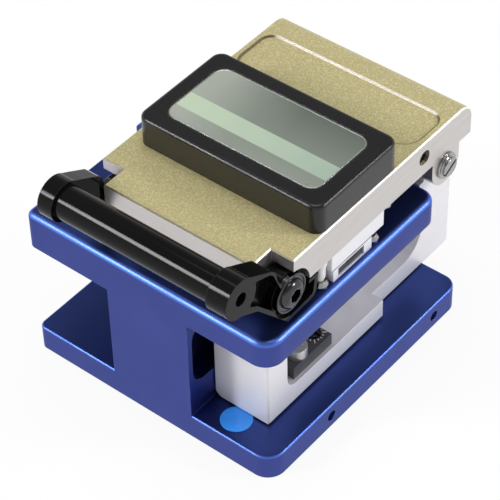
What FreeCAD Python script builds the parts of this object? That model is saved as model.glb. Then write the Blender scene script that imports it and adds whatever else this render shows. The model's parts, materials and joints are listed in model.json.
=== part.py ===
"""Fibre cleaver: blue one-piece frame, hinged lid with a lever handle, and a blade slider on a linear guide.

Lengths are in millimetres. Places are counted from the frame's centre plane (x), its front face (y) and its
underside (z). Every sub-part is then shifted by half the frame's depth, so that the part's origin is the
centre of the underside.
"""
import FreeCAD
import Part
import Sketcher
import os
import re

doc = FreeCAD.newDocument("FibreCleaver")
sheet = doc.addObject("Spreadsheet::Sheet", "Sizes")

SIZES = {
    # frame: base, pillar and top plate in one piece
    "body_width": 63.0, "body_depth": 65.0, "base_thick": 6.1, "plate_top": 38.9, "plate_depth": 55.2,
    "bay_top_left": 29.8, "bay_top_right": 32.5, "pillar_left": 10.0, "pillar_right": 10.8,
    "front_left_round": 1.8, "front_right_round": 4.2, "rear_round": 3.3, "plate_edge_round": 1.3,
    "base_edge_round": 0.5, "seat_width": 13.5, "seat_front": 13.0, "seat_length": 21.4,
    "seat_drop": 2.5, "guide_pocket_front": 1.3, "guide_pocket_length": 52.7, "guide_pocket_low": 14.2,
    "guide_pocket_height": 15.6, "guide_pocket_round": 3.3, "guide_pocket_depth": 5.2,
    "side_hole_radius": 1.25, "side_hole_length": 9.0, "side_hole_front": 19.9, "side_hole_pitch": 36.0,
    "side_hole_height": 2.9, "foot_radius": 4.0, "foot_thick": 1.0, "foot_inset": 8.5, "dot_radius": 3.4,
    "dot_thick": 0.15, "dot_side": 18.6, "dot_front": 5.0, "stop_pin_radius": 1.2, "stop_pin_place": 6.0,
    "stop_pin_height": 2.2, "stop_pin_root": 3.0, "groove_offset": 1.5,
    # the line along x where the fibre lies, and the plane of the blade
    "fibre_line": 28.2, "fibre_level": 42.0, "blade_plane": 17.3,
    # play between pieces
    "running_play": 0.05, "slide_play": 0.3, "floor_play": 0.4, "side_play": 0.6, "fit_play": 0.05,
    # blade and its arm
    "blade_radius": 8.0, "blade_thick": 0.9, "blade_bevel": 0.9, "blade_spigot": 2.0, "blade_lag": 8.4,
    "arm_plate": 1.9, "arm_head_radius": 3.8, "arm_shoulder": 0.45, "arm_neck": 6.0,
    "arm_foot_lift": 1.0, "arm_foot_start": 3.0, "arm_foot_length": 20.0, "arm_foot_height": 9.0,
    "arm_screw_first": 8.0, "arm_screw_pitch": 8.0, "arm_screw_rise": 5.5, "spigot_rim": 1.2,
    "arm_thread_floor": 0.4, "blade_screw_radius": 3.2, "blade_screw_head": 1.3, "slot_left": 3.2,
    "slot_right": 2.9, "slot_play": 0.8,
    # slider
    "slider_front": 7.6, "slider_length": 66.0, "slider_width": 13.8, "slider_travel": 16.8,
    "front_wall": 6.2, "rear_wall": 9.6, "slider_floor": 4.9, "back_wall": 3.4, "side_wall": 2.9,
    "step_place": 38.6, "window_front_round": 3.2, "window_rear_round": 7.2, "slider_corner": 1.8,
    "slider_edge": 0.25,
    # linear guide
    "rail_front": 18.5, "rail_length": 35.0, "rail_width": 5.0, "rail_height": 3.7, "rail_level": 22.0,
    "rail_groove": 0.6, "carriage_front": 19.0, "carriage_length": 17.5, "carriage_width": 12.0,
    "carriage_height": 5.0, "carriage_cap": 1.4, "carriage_waist": 1.0, "carriage_thread": 1.2,
    "rail_screw_pitch": 13.0, "rail_thread_floor": 0.8, "rail_groove_place": 1.6,
    # height adjuster in the slider's window
    "block_front": 17.0, "block_length": 12.6, "block_width": 7.0, "block_height": 3.0,
    "block_inset": 0.9, "dial_radius": 1.6, "dial_place": 10.4, "dial_side": 3.1, "cap_place": 3.9,
    "cap_side": 2.3, "cap_radius": 2.25, "cap_height": 2.4,
    # lower clamp blocks, pads and stop screws
    "block_gap": 0.5, "lower_block_width": 9.8, "lower_block_depth": 12.4, "pad_width": 3.2,
    "pad_thick": 1.6, "pad_inset": 0.7, "pad_rise": 0.2, "side_slot_length": 8.3,
    "side_slot_height": 2.2, "side_slot_rise": 0.4, "side_slot_depth": 1.6, "clamp_screw_offset": 4.2,
    "stop_side": 28.4, "stop_front": 19.8, "stop_pitch": 16.4, "stop_head_radius": 1.7,
    "stop_head_height": 1.6, "stop_crown": 0.8, "stop_crown_inset": 0.5, "stop_tip": 1.0,
    "side_slot_place": 1.6, "clamp_screw_root": 3.8,
    # lid
    "lid_centre": 6.2, "lid_width": 47.6, "lid_low": 46.0, "lid_top": 54.2, "lid_front": 9.7,
    "lid_overhang": 13.0, "tab_front": 3.85, "lid_rear_round": 4.0, "lid_edge": 0.3, "panel_depth": 0.4,
    "panel_length": 12.6, "panel_back": 7.6, "panel_inset": 1.4, "panel_round": 3.2,
    "panel_wide_round": 4.6, "lug_radius": 4.5, "lug_width": 6.0, "lug_wall": 0.9, "spring_room": 3.0,
    "upper_block_front": 21.5, "upper_block_depth": 16.8, "upper_screw_place": 2.6,
    "upper_screw_root": 4.0, "bumper_radius": 1.5, "magnet_radius": 1.3, "magnet_side": 21.3,
    "magnet_front": 42.2, "magnet_height": 2.6,
    # hinge behind the top plate
    "hinge_back": 4.2, "hinge_level": 43.0, "ear_radius": 4.6, "ear_thick": 3.0, "hinge_pin": 1.75,
    "hinge_head": 3.0, "hinge_head_thick": 1.3, "hinge_thread": 5.0, "hinge_slot_depth": 0.6,
    "hinge_slot_width": 0.7, "knuckle_radius": 2.7, "bracket_low": 32.9, "bracket_ledge": 38.5,
    "bracket_plate": 1.8, "bracket_screw_root": 6.0,
    # anvil lever inside the lid
    "anvil_front": 51.7, "anvil_level": 50.3, "anvil_pin": 1.7, "anvil_width": 4.0, "anvil_boss": 2.75,
    "anvil_pocket_width": 6.8, "anvil_pocket_front": 23.5, "anvil_pocket_rear": 57.0, "lid_skin": 1.0,
    "anvil_tip_radius": 0.9, "anvil_tip_play": 0.4, "anvil_tail": 4.9, "anvil_tail_drop": 0.7,
    # black cover on the lid
    "cover_left": 21.5, "cover_right": 23.55, "cover_front": 17.5, "cover_depth": 25.8,
    "cover_height": 6.9, "cover_round": 2.5, "cover_edge": 0.8, "label_inset": 3.7, "label_round": 2.8,
    "label_thick": 0.4, "label_sink": 0.1, "cover_screw_left": 17.0, "cover_screw_right": 18.0,
    "cover_screw_front": 2.2, "cover_screw_rear": 2.4, "cover_screw_root": 4.0,
    # handle
    "pivot_front": 9.2, "pivot_level": 46.0, "pivot_pin": 2.2, "pivot_boss": 4.7, "pivot_head": 5.0,
    "pivot_head_thick": 1.4, "pivot_dome": 0.9, "pivot_dome_inset": 0.35, "pivot_head_play": 0.25,
    "pivot_socket": 1.6, "pivot_socket_depth": 1.3, "lid_cutout": 5.4, "grip_forward": 15.1,
    "grip_rise": 10.6, "grip_radius": 3.6, "grip_boss": 4.4, "grip_hole": 1.5, "grip_seat": 1.4,
    "grip_thread": 5.0, "arm_thick": 4.8, "arm_web": 1.7, "left_arm_inset": 1.3, "pivot_sink": 1.3,
    # springs of square wire
    "handle_coil_radius": 3.0, "handle_wire": 0.4, "handle_coil_pitch": 0.65, "handle_coil_turns": 3,
    "anvil_coil_radius": 0.8, "anvil_wire": 0.25, "anvil_coil_turns": 5,
    # small screws
    "m2_radius": 1.0, "m2_head": 1.9, "m2_head_height": 1.6, "socket_depth": 0.9, "small_radius": 0.8,
    "small_head": 1.52, "small_head_height": 1.2, "small_seat": 1.4, "tip_gap": 0.6,
}

for row, (alias, size) in enumerate(SIZES.items(), start=1):
    sheet.set("A%d" % row, str(size))
    sheet.setAlias("A%d" % row, alias)
doc.recompute()

# places worked out from the sizes above
SHIFT = "-body_depth / 2"
BLADE_Y = "(fibre_line + blade_lag)"
BLADE_Z = "(fibre_level - blade_radius)"
SLIDER_X = "(pillar_right + slide_play)"
SLIDER_RIGHT = "(pillar_right + slide_play + slider_width)"
SLIDER_LOW = "(base_thick + floor_play)"
SLIDER_HEIGHT = "(bay_top_right - base_thick - 2 * floor_play)"
FLOOR_Z = "(base_thick + floor_play + slider_floor)"
WALL_X = "(pillar_right + slide_play + back_wall)"
WINDOW_FRONT = "(slider_front + front_wall)"
WINDOW_LENGTH = "(slider_length - front_wall - rear_wall)"
POCKET_FLOOR_X = "(pillar_right - guide_pocket_depth)"
LID_LEFT = "(lid_centre - lid_width / 2)"
LID_RIGHT = "(lid_centre + lid_width / 2)"
HINGE_Y = "(plate_depth + hinge_back)"
LID_REAR = "(plate_depth + lid_overhang)"
HALF_TAB = "(lid_width / 2 - arm_thick - side_play)"
TAB_LEFT = "(lid_centre - %s)" % HALF_TAB
TAB_RIGHT = "(lid_centre + %s)" % HALF_TAB
COVER_LEFT = "(lid_centre - cover_left)"
COVER_WIDTH = "(cover_left + cover_right)"
GRIP_Y = "(pivot_front - grip_forward)"
GRIP_Z = "(pivot_level + grip_rise)"
LEFT_BLOCK_X = "(blade_plane - slot_left - block_gap - lower_block_width)"
RIGHT_BLOCK_X = "(blade_plane + slot_right + block_gap)"
LOWER_BLOCK_Y = "(fibre_line - lower_block_depth / 2)"
CLAMP_BLOCKS = [(LEFT_BLOCK_X, "lower_block_width"), (RIGHT_BLOCK_X, LID_RIGHT + " - " + RIGHT_BLOCK_X)]
STOP_Z = "(plate_top + stop_head_height)"


def formula(text):
    """The expression with each alias written as a cell of the sheet."""
    def cell(word):
        return "Sizes." + word[0] if word[0] in SIZES else word[0]

    return re.sub(r"[a-z][a-z_0-9]*", cell, text)


def value(text):
    """The number that an expression gives now."""
    return float(sheet.evalExpression(text))


def bind(thing, **expressions):
    for name, text in expressions.items():
        thing.setExpression(name.replace("__", "."), formula(text))


# ---------------------------------------------------------------- PartDesign helpers

def new_body(label):
    body = doc.addObject("PartDesign::Body", label)
    body.Label = label
    bind(body, Placement__Base__y=SHIFT)
    return body


def origin_plane(body, role):
    return next(plane for plane in body.Origin.OriginFeatures if plane.Role == role)


def draw_polygon(sketch, corners):
    """A closed outline whose corners are held by dimensions from the sketch's origin."""
    places = [(value(across), value(along)) for across, along in corners]
    first = sketch.GeometryCount
    count = len(places)
    for index in range(count):
        start = FreeCAD.Vector(*places[index], 0)
        end = FreeCAD.Vector(*places[(index + 1) % count], 0)
        sketch.addGeometry(Part.LineSegment(start, end), False)
    for index in range(count):
        following = first + (index + 1) % count
        sketch.addConstraint(Sketcher.Constraint("Coincident", first + index, 2, following, 1))
    for index in range(count):
        for kind, number, text in zip(("DistanceX", "DistanceY"), places[index], corners[index]):
            place = sketch.addConstraint(Sketcher.Constraint(kind, -1, 1, first + index, 1, number))
            sketch.setExpression("Constraints[%d]" % place, formula(text))


def draw_circle(sketch, across, along, radius):
    centre = FreeCAD.Vector(value(across), value(along), 0)
    circle = sketch.addGeometry(Part.Circle(centre, FreeCAD.Vector(0, 0, 1), value(radius)), False)
    for kind, number, text in (("DistanceX", centre.x, across), ("DistanceY", centre.y, along)):
        place = sketch.addConstraint(Sketcher.Constraint(kind, -1, 1, circle, 3, number))
        sketch.setExpression("Constraints[%d]" % place, formula(text))
    place = sketch.addConstraint(Sketcher.Constraint("Radius", circle, value(radius)))
    sketch.setExpression("Constraints[%d]" % place, formula(radius))


def new_sketch(body, role, offset, outlines):
    """A sketch parallel to an origin plane; XZ offsets count towards +y."""
    sketch = body.newObject("Sketcher::SketchObject", "Sketch")
    sketch.AttachmentSupport = (origin_plane(body, role), [""])
    sketch.MapMode = "FlatFace"
    shift = "-(%s)" % offset if role == "XZ_Plane" else offset
    bind(sketch, AttachmentOffset__Base__z=shift)
    for outline in outlines:
        if len(outline) == 3 and isinstance(outline[0], str):
            draw_circle(sketch, *outline)
        else:
            draw_polygon(sketch, outline)
    return sketch


def rectangle(left, low, width, height):
    right = "%s + %s" % (left, width)
    high = "%s + %s" % (low, height)
    return [(left, low), (right, low), (right, high), (left, high)]


def add_pad(body, role, offset, outlines, length, away=True):
    """Material from a plane; away is the direction of the plane's growing offset."""
    pad = body.newObject("PartDesign::Pad", "Pad")
    pad.Profile = new_sketch(body, role, offset, outlines)
    bind(pad, Length=length)
    pad.Reversed = away == (role == "XZ_Plane")
    doc.recompute()
    return pad


def add_pocket(body, role, offset, outlines, depth, away=False):
    """A cut from a plane; away is the direction of the plane's growing offset."""
    before = body.Shape.Volume
    pocket = body.newObject("PartDesign::Pocket", "Pocket")
    pocket.Profile = new_sketch(body, role, offset, outlines)
    bind(pocket, Length=depth)
    pocket.Reversed = away != (role == "XZ_Plane")
    doc.recompute()
    assert body.Shape.Volume < before - 1e-4, "%s: a pocket cuts nothing" % body.Label
    return pocket


def chosen_edges(shape, test):
    return ["Edge%d" % number for number, edge in enumerate(shape.Edges, start=1) if test(edge)]


def dress(body, kind, size_name, size, test):
    """Fillet or chamfer of the edges that pass the test."""
    base = body.Tip
    names = chosen_edges(base.Shape, test)
    assert names, "%s: no edge to dress" % body.Label
    feature = body.newObject("PartDesign::" + kind, kind)
    feature.Base = (base, names)
    bind(feature, **{size_name: size})
    doc.recompute()
    return feature


def add_fillet(body, radius, test):
    return dress(body, "Fillet", "Radius", radius, test)


def add_chamfer(body, size, test):
    return dress(body, "Chamfer", "Size", size, test)


def along(edge, axis):
    """True for a straight edge parallel to axis 0, 1 or 2."""
    if not isinstance(edge.Curve, (Part.Line, Part.LineSegment)):
        return False
    ends = edge.Vertexes
    step = ends[-1].Point - ends[0].Point
    return abs(step[axis]) > 1e-6 and step.Length - abs(step[axis]) < 1e-6


def near(edge, **places):
    """True where the middle of the edge has these coordinates, each an expression or a choice of them."""
    middle = edge.CenterOfMass
    for axis, texts in places.items():
        choices = (texts,) if isinstance(texts, str) else texts
        if all(abs(getattr(middle, axis) - value(text)) > 1e-3 for text in choices):
            return False
    return True


# ---------------------------------------------------------------- Part helpers

TURN = {
    "x": FreeCAD.Rotation(FreeCAD.Vector(0, 1, 0), 90),
    "-x": FreeCAD.Rotation(FreeCAD.Vector(0, 1, 0), -90),
    "y": FreeCAD.Rotation(FreeCAD.Vector(1, 0, 0), -90),
    "z": FreeCAD.Rotation(),
}


def place_at(thing, place, turn="z"):
    thing.Placement = FreeCAD.Placement(FreeCAD.Vector(), TURN[turn])
    bind(thing, Placement__Base__x=place[0], Placement__Base__y=place[1], Placement__Base__z=place[2])
    return thing


def new_box(place, length, width, height):
    box = doc.addObject("Part::Box", "Box")
    bind(box, Length=length, Width=width, Height=height)
    return place_at(box, place)


def new_rod(place, axis, radius, length):
    """A cylinder that runs from a point towards +x, +y or +z."""
    rod = doc.addObject("Part::Cylinder", "Rod")
    bind(rod, Radius=radius, Height=length)
    return place_at(rod, place, axis)


def new_cone(place, axis, start_radius, end_radius, length):
    cone = doc.addObject("Part::Cone", "Cone")
    bind(cone, Radius1=start_radius, Radius2=end_radius, Height=length)
    return place_at(cone, place, axis)


def new_prism(place, axis, radius, length):
    """A hexagonal bar that runs from a point towards +x, +y or +z."""
    prism = doc.addObject("Part::Prism", "Prism")
    bind(prism, Circumradius=radius, Height=length)
    return place_at(prism, place, axis)


def new_dome(place, side, radius, height):
    """The cap of a ball: place is the centre of its flat face, and it bulges towards +x or -x."""
    ball = "((%s ^ 2 + %s ^ 2) / (2 * %s))" % (radius, height, height)
    dome = doc.addObject("Part::Sphere", "Dome")
    bind(dome, Radius=ball, Angle1="acos(%s / %s)" % (radius, ball))
    dome.Angle2 = 90
    sign = "-" if side > 0 else "+"
    centre = ("%s %s (%s - %s)" % (place[0], sign, ball, height),) + tuple(place[1:])
    return place_at(dome, centre, "x" if side > 0 else "-x")


def fused(pieces):
    if len(pieces) == 1:
        return pieces[0]
    fuse = doc.addObject("Part::MultiFuse", "Fuse")
    fuse.Shapes = pieces
    fuse.Refine = True
    return fuse


def cut_from(base, tools):
    cut = doc.addObject("Part::Cut", "Cut")
    cut.Base = base
    cut.Tool = fused(tools)
    return cut


def sub_part(label, pieces):
    """The finished sub-part: its separate solids in one compound."""
    group = doc.addObject("Part::Compound", label)
    group.Label = label
    group.Links = pieces
    bind(group, Placement__Base__y=SHIFT)
    return group


def screw(head, shank_length, axis, radius="m2_radius", head_radius="m2_head", head_height="m2_head_height",
          towards=1, socket="m2_radius * 0.8"):
    """A socket screw: head is the centre of the seat under its head, and the shank points along towards."""
    index = "xyz".index(axis)
    seat = list(head)
    head_start = list(seat)
    shank_start = list(seat)
    socket_start = list(seat)
    if towards > 0:
        head_start[index] = "%s - (%s)" % (seat[index], head_height)
        socket_start[index] = head_start[index]
    else:
        shank_start[index] = "%s - (%s)" % (seat[index], shank_length)
        socket_start[index] = "%s + %s - socket_depth" % (seat[index], head_height)
    solid = fused([new_rod(head_start, axis, head_radius, head_height),
                   new_rod(shank_start, axis, radius, shank_length)])
    return cut_from(solid, [new_rod(socket_start, axis, socket, "socket_depth")])


# ---------------------------------------------------------------- frame

def foot_places():
    return [(side + "(body_width / 2 - foot_inset)", depth)
            for side in ("-", "") for depth in ("foot_inset", "(body_depth - foot_inset)")]


STOP_PLACES = [("stop_side", "stop_front"), ("stop_side", "(stop_front + stop_pitch)")]
CARRIAGE_SCREWS = ["(carriage_front + carriage_length / 4)", "(carriage_front + carriage_length * 3 / 4)"]
BRACKET_SCREWS = ["(lid_centre - lid_width / 3)", "lid_centre", "(lid_centre + lid_width / 3)"]
BRACKET_SCREW_Z = "((bracket_low + bracket_ledge) / 2)"
CLAMP_SCREWS = [("%s + lower_block_width / 2" % left, "fibre_line %s clamp_screw_offset" % sign)
                for left in (LEFT_BLOCK_X, RIGHT_BLOCK_X) for sign in "-+"]
GROOVE_X = "(%s + slider_width / 2 - groove_offset)" % SLIDER_X
PIN_Y = "(slider_front + front_wall + stop_pin_place)"


def main_frame():
    body = new_body("main_frame")
    add_pad(body, "XY_Plane", "0", [rectangle("-body_width / 2", "0", "body_width", "body_depth")],
            "base_thick")
    add_pad(body, "XY_Plane", "base_thick", [rectangle("-pillar_left", "0", "pillar_left + pillar_right",
            "plate_depth")], "plate_top - base_thick")
    add_pad(body, "XY_Plane", "bay_top_left", [rectangle("-body_width / 2", "0", "body_width / 2",
            "plate_depth")], "plate_top - bay_top_left")
    add_pad(body, "XY_Plane", "bay_top_right", [rectangle("0", "0", "body_width / 2", "plate_depth")],
            "plate_top - bay_top_right")
    sides = ("-body_width / 2", "body_width / 2")
    rears = ("plate_depth", "body_depth")
    for radius, across, depths in (("front_left_round", sides[0], "0"), ("front_right_round", sides[1], "0"),
                                   ("rear_round", sides, rears)):
        add_fillet(body, radius, lambda edge: along(edge, 2) and near(edge, x=across, y=depths))
    add_fillet(body, "plate_edge_round", lambda edge: near(edge, z="plate_top"))
    add_fillet(body, "base_edge_round", lambda edge: near(edge, z="base_thick") and (
        near(edge, x=sides) or near(edge, y="body_depth") or not along(edge, 0) and not along(edge, 1)
        or near(edge, y="0")))
    # seat for the fibre holder, blade slot, pocket for the linear guide
    add_pocket(body, "XY_Plane", "plate_top", [rectangle("-body_width / 2 - 1", "seat_front",
               "seat_width + 1", "seat_length")], "seat_drop")
    slot_front = BLADE_Y + " - slider_travel - blade_radius - slot_play"
    add_pocket(body, "XY_Plane", "plate_top", [rectangle("blade_plane - slot_left", slot_front,
               "slot_left + slot_right", "slider_travel + 2 * (blade_radius + slot_play)")],
               "plate_top - bay_top_right")
    add_pocket(body, "YZ_Plane", "pillar_right", [rectangle("guide_pocket_front", "guide_pocket_low",
               "guide_pocket_length", "guide_pocket_height")], "guide_pocket_depth")
    middle_x = "pillar_right - guide_pocket_depth / 2"
    corners_y = ("guide_pocket_front", "guide_pocket_front + guide_pocket_length")
    corners_z = ("guide_pocket_low", "guide_pocket_low + guide_pocket_height")
    add_fillet(body, "guide_pocket_round",
               lambda edge: along(edge, 0) and near(edge, x=middle_x, y=corners_y, z=corners_z))
    # screw holes
    holes = [(across, "rail_level", "m2_radius + fit_play") for across in CARRIAGE_SCREWS]
    add_pocket(body, "YZ_Plane", "-pillar_left", holes, "pillar_left + pillar_right - guide_pocket_depth",
               away=True)
    bores = [(across, "rail_level", "m2_head + fit_play") for across in CARRIAGE_SCREWS]
    add_pocket(body, "YZ_Plane", "-pillar_left", bores, "m2_head_height + fit_play", away=True)
    side_holes = [(across, "side_hole_height", "side_hole_radius")
                  for across in ("side_hole_front", "side_hole_front + side_hole_pitch")]
    add_pocket(body, "YZ_Plane", "body_width / 2", side_holes, "side_hole_length")
    feet = [(across, depth, "foot_radius + fit_play") for across, depth in foot_places()]
    add_pocket(body, "XY_Plane", "0", feet, "foot_thick", away=True)
    stops = [(across, depth, "m2_radius") for across, depth in STOP_PLACES]
    add_pocket(body, "XY_Plane", "plate_top", stops, "plate_top - bay_top_right")
    clamps = [(across, depth, "small_radius") for across, depth in CLAMP_SCREWS]
    add_pocket(body, "XY_Plane", "plate_top", clamps, "clamp_screw_root")
    rear = [(across, BRACKET_SCREW_Z, "m2_radius") for across in BRACKET_SCREWS]
    add_pocket(body, "XZ_Plane", "plate_depth", rear, "bracket_screw_root")
    add_pocket(body, "XY_Plane", "base_thick", [(GROOVE_X, PIN_Y, "stop_pin_radius")], "stop_pin_root")
    return body


def frame_fittings():
    feet = [new_rod((across, depth, "0"), "z", "foot_radius", "foot_thick")
            for across, depth in foot_places()]
    dot = new_rod(("dot_side", "dot_front", "base_thick"), "z", "dot_radius", "dot_thick")
    pin_start = (GROOVE_X, PIN_Y, "base_thick - stop_pin_root")
    pin = new_rod(pin_start, "z", "stop_pin_radius", "stop_pin_root + floor_play + stop_pin_height")
    carriage_x = POCKET_FLOOR_X
    half = "carriage_width / 2"
    block = new_box((carriage_x, "carriage_front", "rail_level - " + half), "carriage_height",
                    "carriage_length", "carriage_width")
    channel_x = SLIDER_X + " - rail_height - running_play"
    channel = new_box((channel_x, "carriage_front - 1", "rail_level - rail_width / 2 - running_play"),
                      "carriage_height", "carriage_length + 2", "rail_width + 2 * running_play")
    threads = [new_rod((carriage_x, across, "rail_level"), "x", "m2_radius", "carriage_thread")
               for across in CARRIAGE_SCREWS]
    waist_z = ("rail_level - " + half, "rail_level + %s - carriage_waist" % half)
    waists = [new_box((carriage_x + " + carriage_height - carriage_waist", "carriage_front + carriage_cap",
                       level), "carriage_waist", "carriage_length - 2 * carriage_cap", "carriage_waist")
              for level in waist_z]
    carriage = cut_from(block, [channel] + threads + waists)
    web = "pillar_left + pillar_right - guide_pocket_depth"
    screws = [screw(("-pillar_left + m2_head_height + fit_play", across, "rail_level"),
                    web + " - m2_head_height - fit_play + carriage_thread", "x")
              for across in CARRIAGE_SCREWS]
    return [sub_part("rubber_feet", feet), sub_part("blue_dot", [dot]), sub_part("travel_stop_pin", [pin]),
            sub_part("bearing_carriage", [carriage]), sub_part("carriage_screws", screws)]


def lower_clamps():
    """Blocks beside the blade slot, each with a rubber pad let into its top."""
    block_height = "fibre_level - pad_rise - plate_top"
    pad_low = "fibre_level - pad_thick"
    pad_y = "fibre_line - pad_width / 2"
    blocks = []
    pads = []
    for left, width in CLAMP_BLOCKS:
        solid = new_box((left, LOWER_BLOCK_Y, "plate_top"), width, "lower_block_depth", block_height)
        bed = new_box((left + " + pad_inset", pad_y, pad_low), "lower_block_width - 2 * pad_inset",
                      "pad_width", "pad_thick")
        tools = [bed]
        for across, depth in CLAMP_SCREWS:
            tools.append(new_rod((across, depth, "plate_top"), "z", "small_radius", block_height))
            tools.append(new_rod((across, depth, "plate_top + small_seat"), "z", "small_head + fit_play",
                                 block_height))
        if left == RIGHT_BLOCK_X:
            slot_y = LOWER_BLOCK_Y + " + side_slot_place"
            tools.append(new_box((LID_RIGHT + " - side_slot_depth", slot_y, "plate_top + side_slot_rise"),
                                 "side_slot_depth + 1", "side_slot_length", "side_slot_height"))
        blocks.append(cut_from(solid, tools))
        pads.append(new_box((left + " + pad_inset", pad_y, pad_low), "lower_block_width - 2 * pad_inset",
                            "pad_width", "pad_thick"))
    screws = [screw((across, depth, "plate_top + small_seat"), "small_seat + clamp_screw_root", "z",
                    radius="small_radius", head_radius="small_head", head_height="small_head_height",
                    towards=-1, socket="m2_radius * 0.6") for across, depth in CLAMP_SCREWS]
    stops = []
    for across, depth in STOP_PLACES:
        length = "plate_top - bay_top_right + stop_tip"
        head = fused([new_rod((across, depth, "plate_top"), "z", "stop_head_radius",
                              "stop_head_height - stop_crown"),
                      new_cone((across, depth, STOP_Z + " - stop_crown"), "z", "stop_head_radius",
                               "stop_head_radius - stop_crown_inset", "stop_crown"),
                      new_rod((across, depth, "bay_top_right - stop_tip"), "z", "m2_radius", length)])
        stops.append(cut_from(head, [new_rod((across, depth, STOP_Z + " - socket_depth"), "z",
                                             "m2_radius * 0.7", "socket_depth")]))
    return [sub_part("left_clamp_block", blocks[:1]), sub_part("right_clamp_block", blocks[1:]),
            sub_part("lower_clamp_pads", pads), sub_part("clamp_block_screws", screws),
            sub_part("stop_screws", stops)]


def hinge_parts():
    """Bracket behind the top plate with a knuckle between the lid's ears, and its screws."""
    knuckle_x = LID_LEFT + " + ear_thick + slide_play"
    knuckle_width = "lid_width - 2 * (ear_thick + slide_play)"
    knuckle_y = HINGE_Y + " - knuckle_radius"
    knuckle = new_box((knuckle_x, knuckle_y, "bracket_low"), knuckle_width, "2 * knuckle_radius",
                      "hinge_level - bracket_low")
    barrel = new_rod((knuckle_x, HINGE_Y, "hinge_level"), "x", "knuckle_radius", knuckle_width)
    web = new_box((knuckle_x, "plate_depth", "bracket_low"), knuckle_width, "bracket_plate + 1",
                  "bracket_ledge - bracket_low")
    tools = []
    for across in BRACKET_SCREWS:
        tools.append(new_rod((across, "plate_depth - 1", BRACKET_SCREW_Z), "y", "m2_radius", "12"))
        tools.append(new_rod((across, "plate_depth + bracket_plate", BRACKET_SCREW_Z), "y",
                             "m2_head + fit_play", "12"))
    for start in (knuckle_x, LID_RIGHT + " - ear_thick - slide_play - hinge_thread"):
        tools.append(new_rod((start, HINGE_Y, "hinge_level"), "x", "hinge_pin * 0.7", "hinge_thread"))
    bracket = cut_from(fused([knuckle, barrel, web]), tools)
    screws = [screw((across, "plate_depth + bracket_plate", BRACKET_SCREW_Z),
                    "bracket_plate + bracket_screw_root", "y", towards=-1) for across in BRACKET_SCREWS]
    pins = []
    for side in (-1, 1):
        pins.append(hinge_screw(side))
    return [sub_part("hinge_bracket", [bracket]), sub_part("bracket_screws", screws),
            sub_part("hinge_screws", pins)]


def mirrored_x(side, distance, length="0"):
    """Low x end of a stretch that starts at a distance from the lid's centre plane, on either side."""
    if side > 0:
        return "(lid_centre + (%s))" % distance
    return "(lid_centre - (%s) - (%s))" % (distance, length)


def hinge_screw(side):
    """Slotted shoulder screw: thread in the knuckle, shoulder in the ear."""
    half = "lid_width / 2"
    thread_length = "hinge_thread"
    shoulder_length = "ear_thick + slide_play + running_play"
    axis_y = HINGE_Y
    axis_z = "hinge_level"
    thread_x = mirrored_x(side, half + " - ear_thick - slide_play - hinge_thread", thread_length)
    shoulder_x = mirrored_x(side, half + " - ear_thick - slide_play", shoulder_length)
    head_x = mirrored_x(side, half + " + running_play", "hinge_head_thick")
    slot_x = mirrored_x(side, half + " + running_play + hinge_head_thick - hinge_slot_depth",
                        "hinge_slot_depth")
    solid = fused([new_rod((thread_x, axis_y, axis_z), "x", "hinge_pin * 0.7", thread_length),
                   new_rod((shoulder_x, axis_y, axis_z), "x", "hinge_pin", shoulder_length),
                   new_rod((head_x, axis_y, axis_z), "x", "hinge_head", "hinge_head_thick")])
    slot = new_box((slot_x, axis_y + " - hinge_head", axis_z + " - hinge_slot_width / 2"),
                   "hinge_slot_depth", "2 * hinge_head", "hinge_slot_width")
    return cut_from(solid, [slot])


# ---------------------------------------------------------------- slider, guide rail and blade

RAIL_SCREWS = ["(rail_front + rail_length / 2 %s)" % step
               for step in ("- rail_screw_pitch", "+ 0", "+ rail_screw_pitch")]
ARM_SCREWS = ["(%s + arm_screw_first)" % BLADE_Y, "(%s + arm_screw_first + arm_screw_pitch)" % BLADE_Y]
ARM_SCREW_Z = "(%s + arm_screw_rise)" % FLOOR_Z
ARM_RIGHT = "(%s + arm_plate)" % WALL_X
BLOCK_X = "(%s - block_inset - block_width)" % SLIDER_RIGHT
BLOCK_TOP = "(%s + block_height)" % FLOOR_Z
DIAL_X = "(%s - block_inset - dial_side)" % SLIDER_RIGHT
DIAL_Y = "(block_front + dial_place)"
CAP_X = "(%s - block_inset - cap_side)" % SLIDER_RIGHT
CAP_Y = "(block_front + cap_place)"
DIAL_DEPTH = "(block_height + slider_floor - 1.5)"


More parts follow.
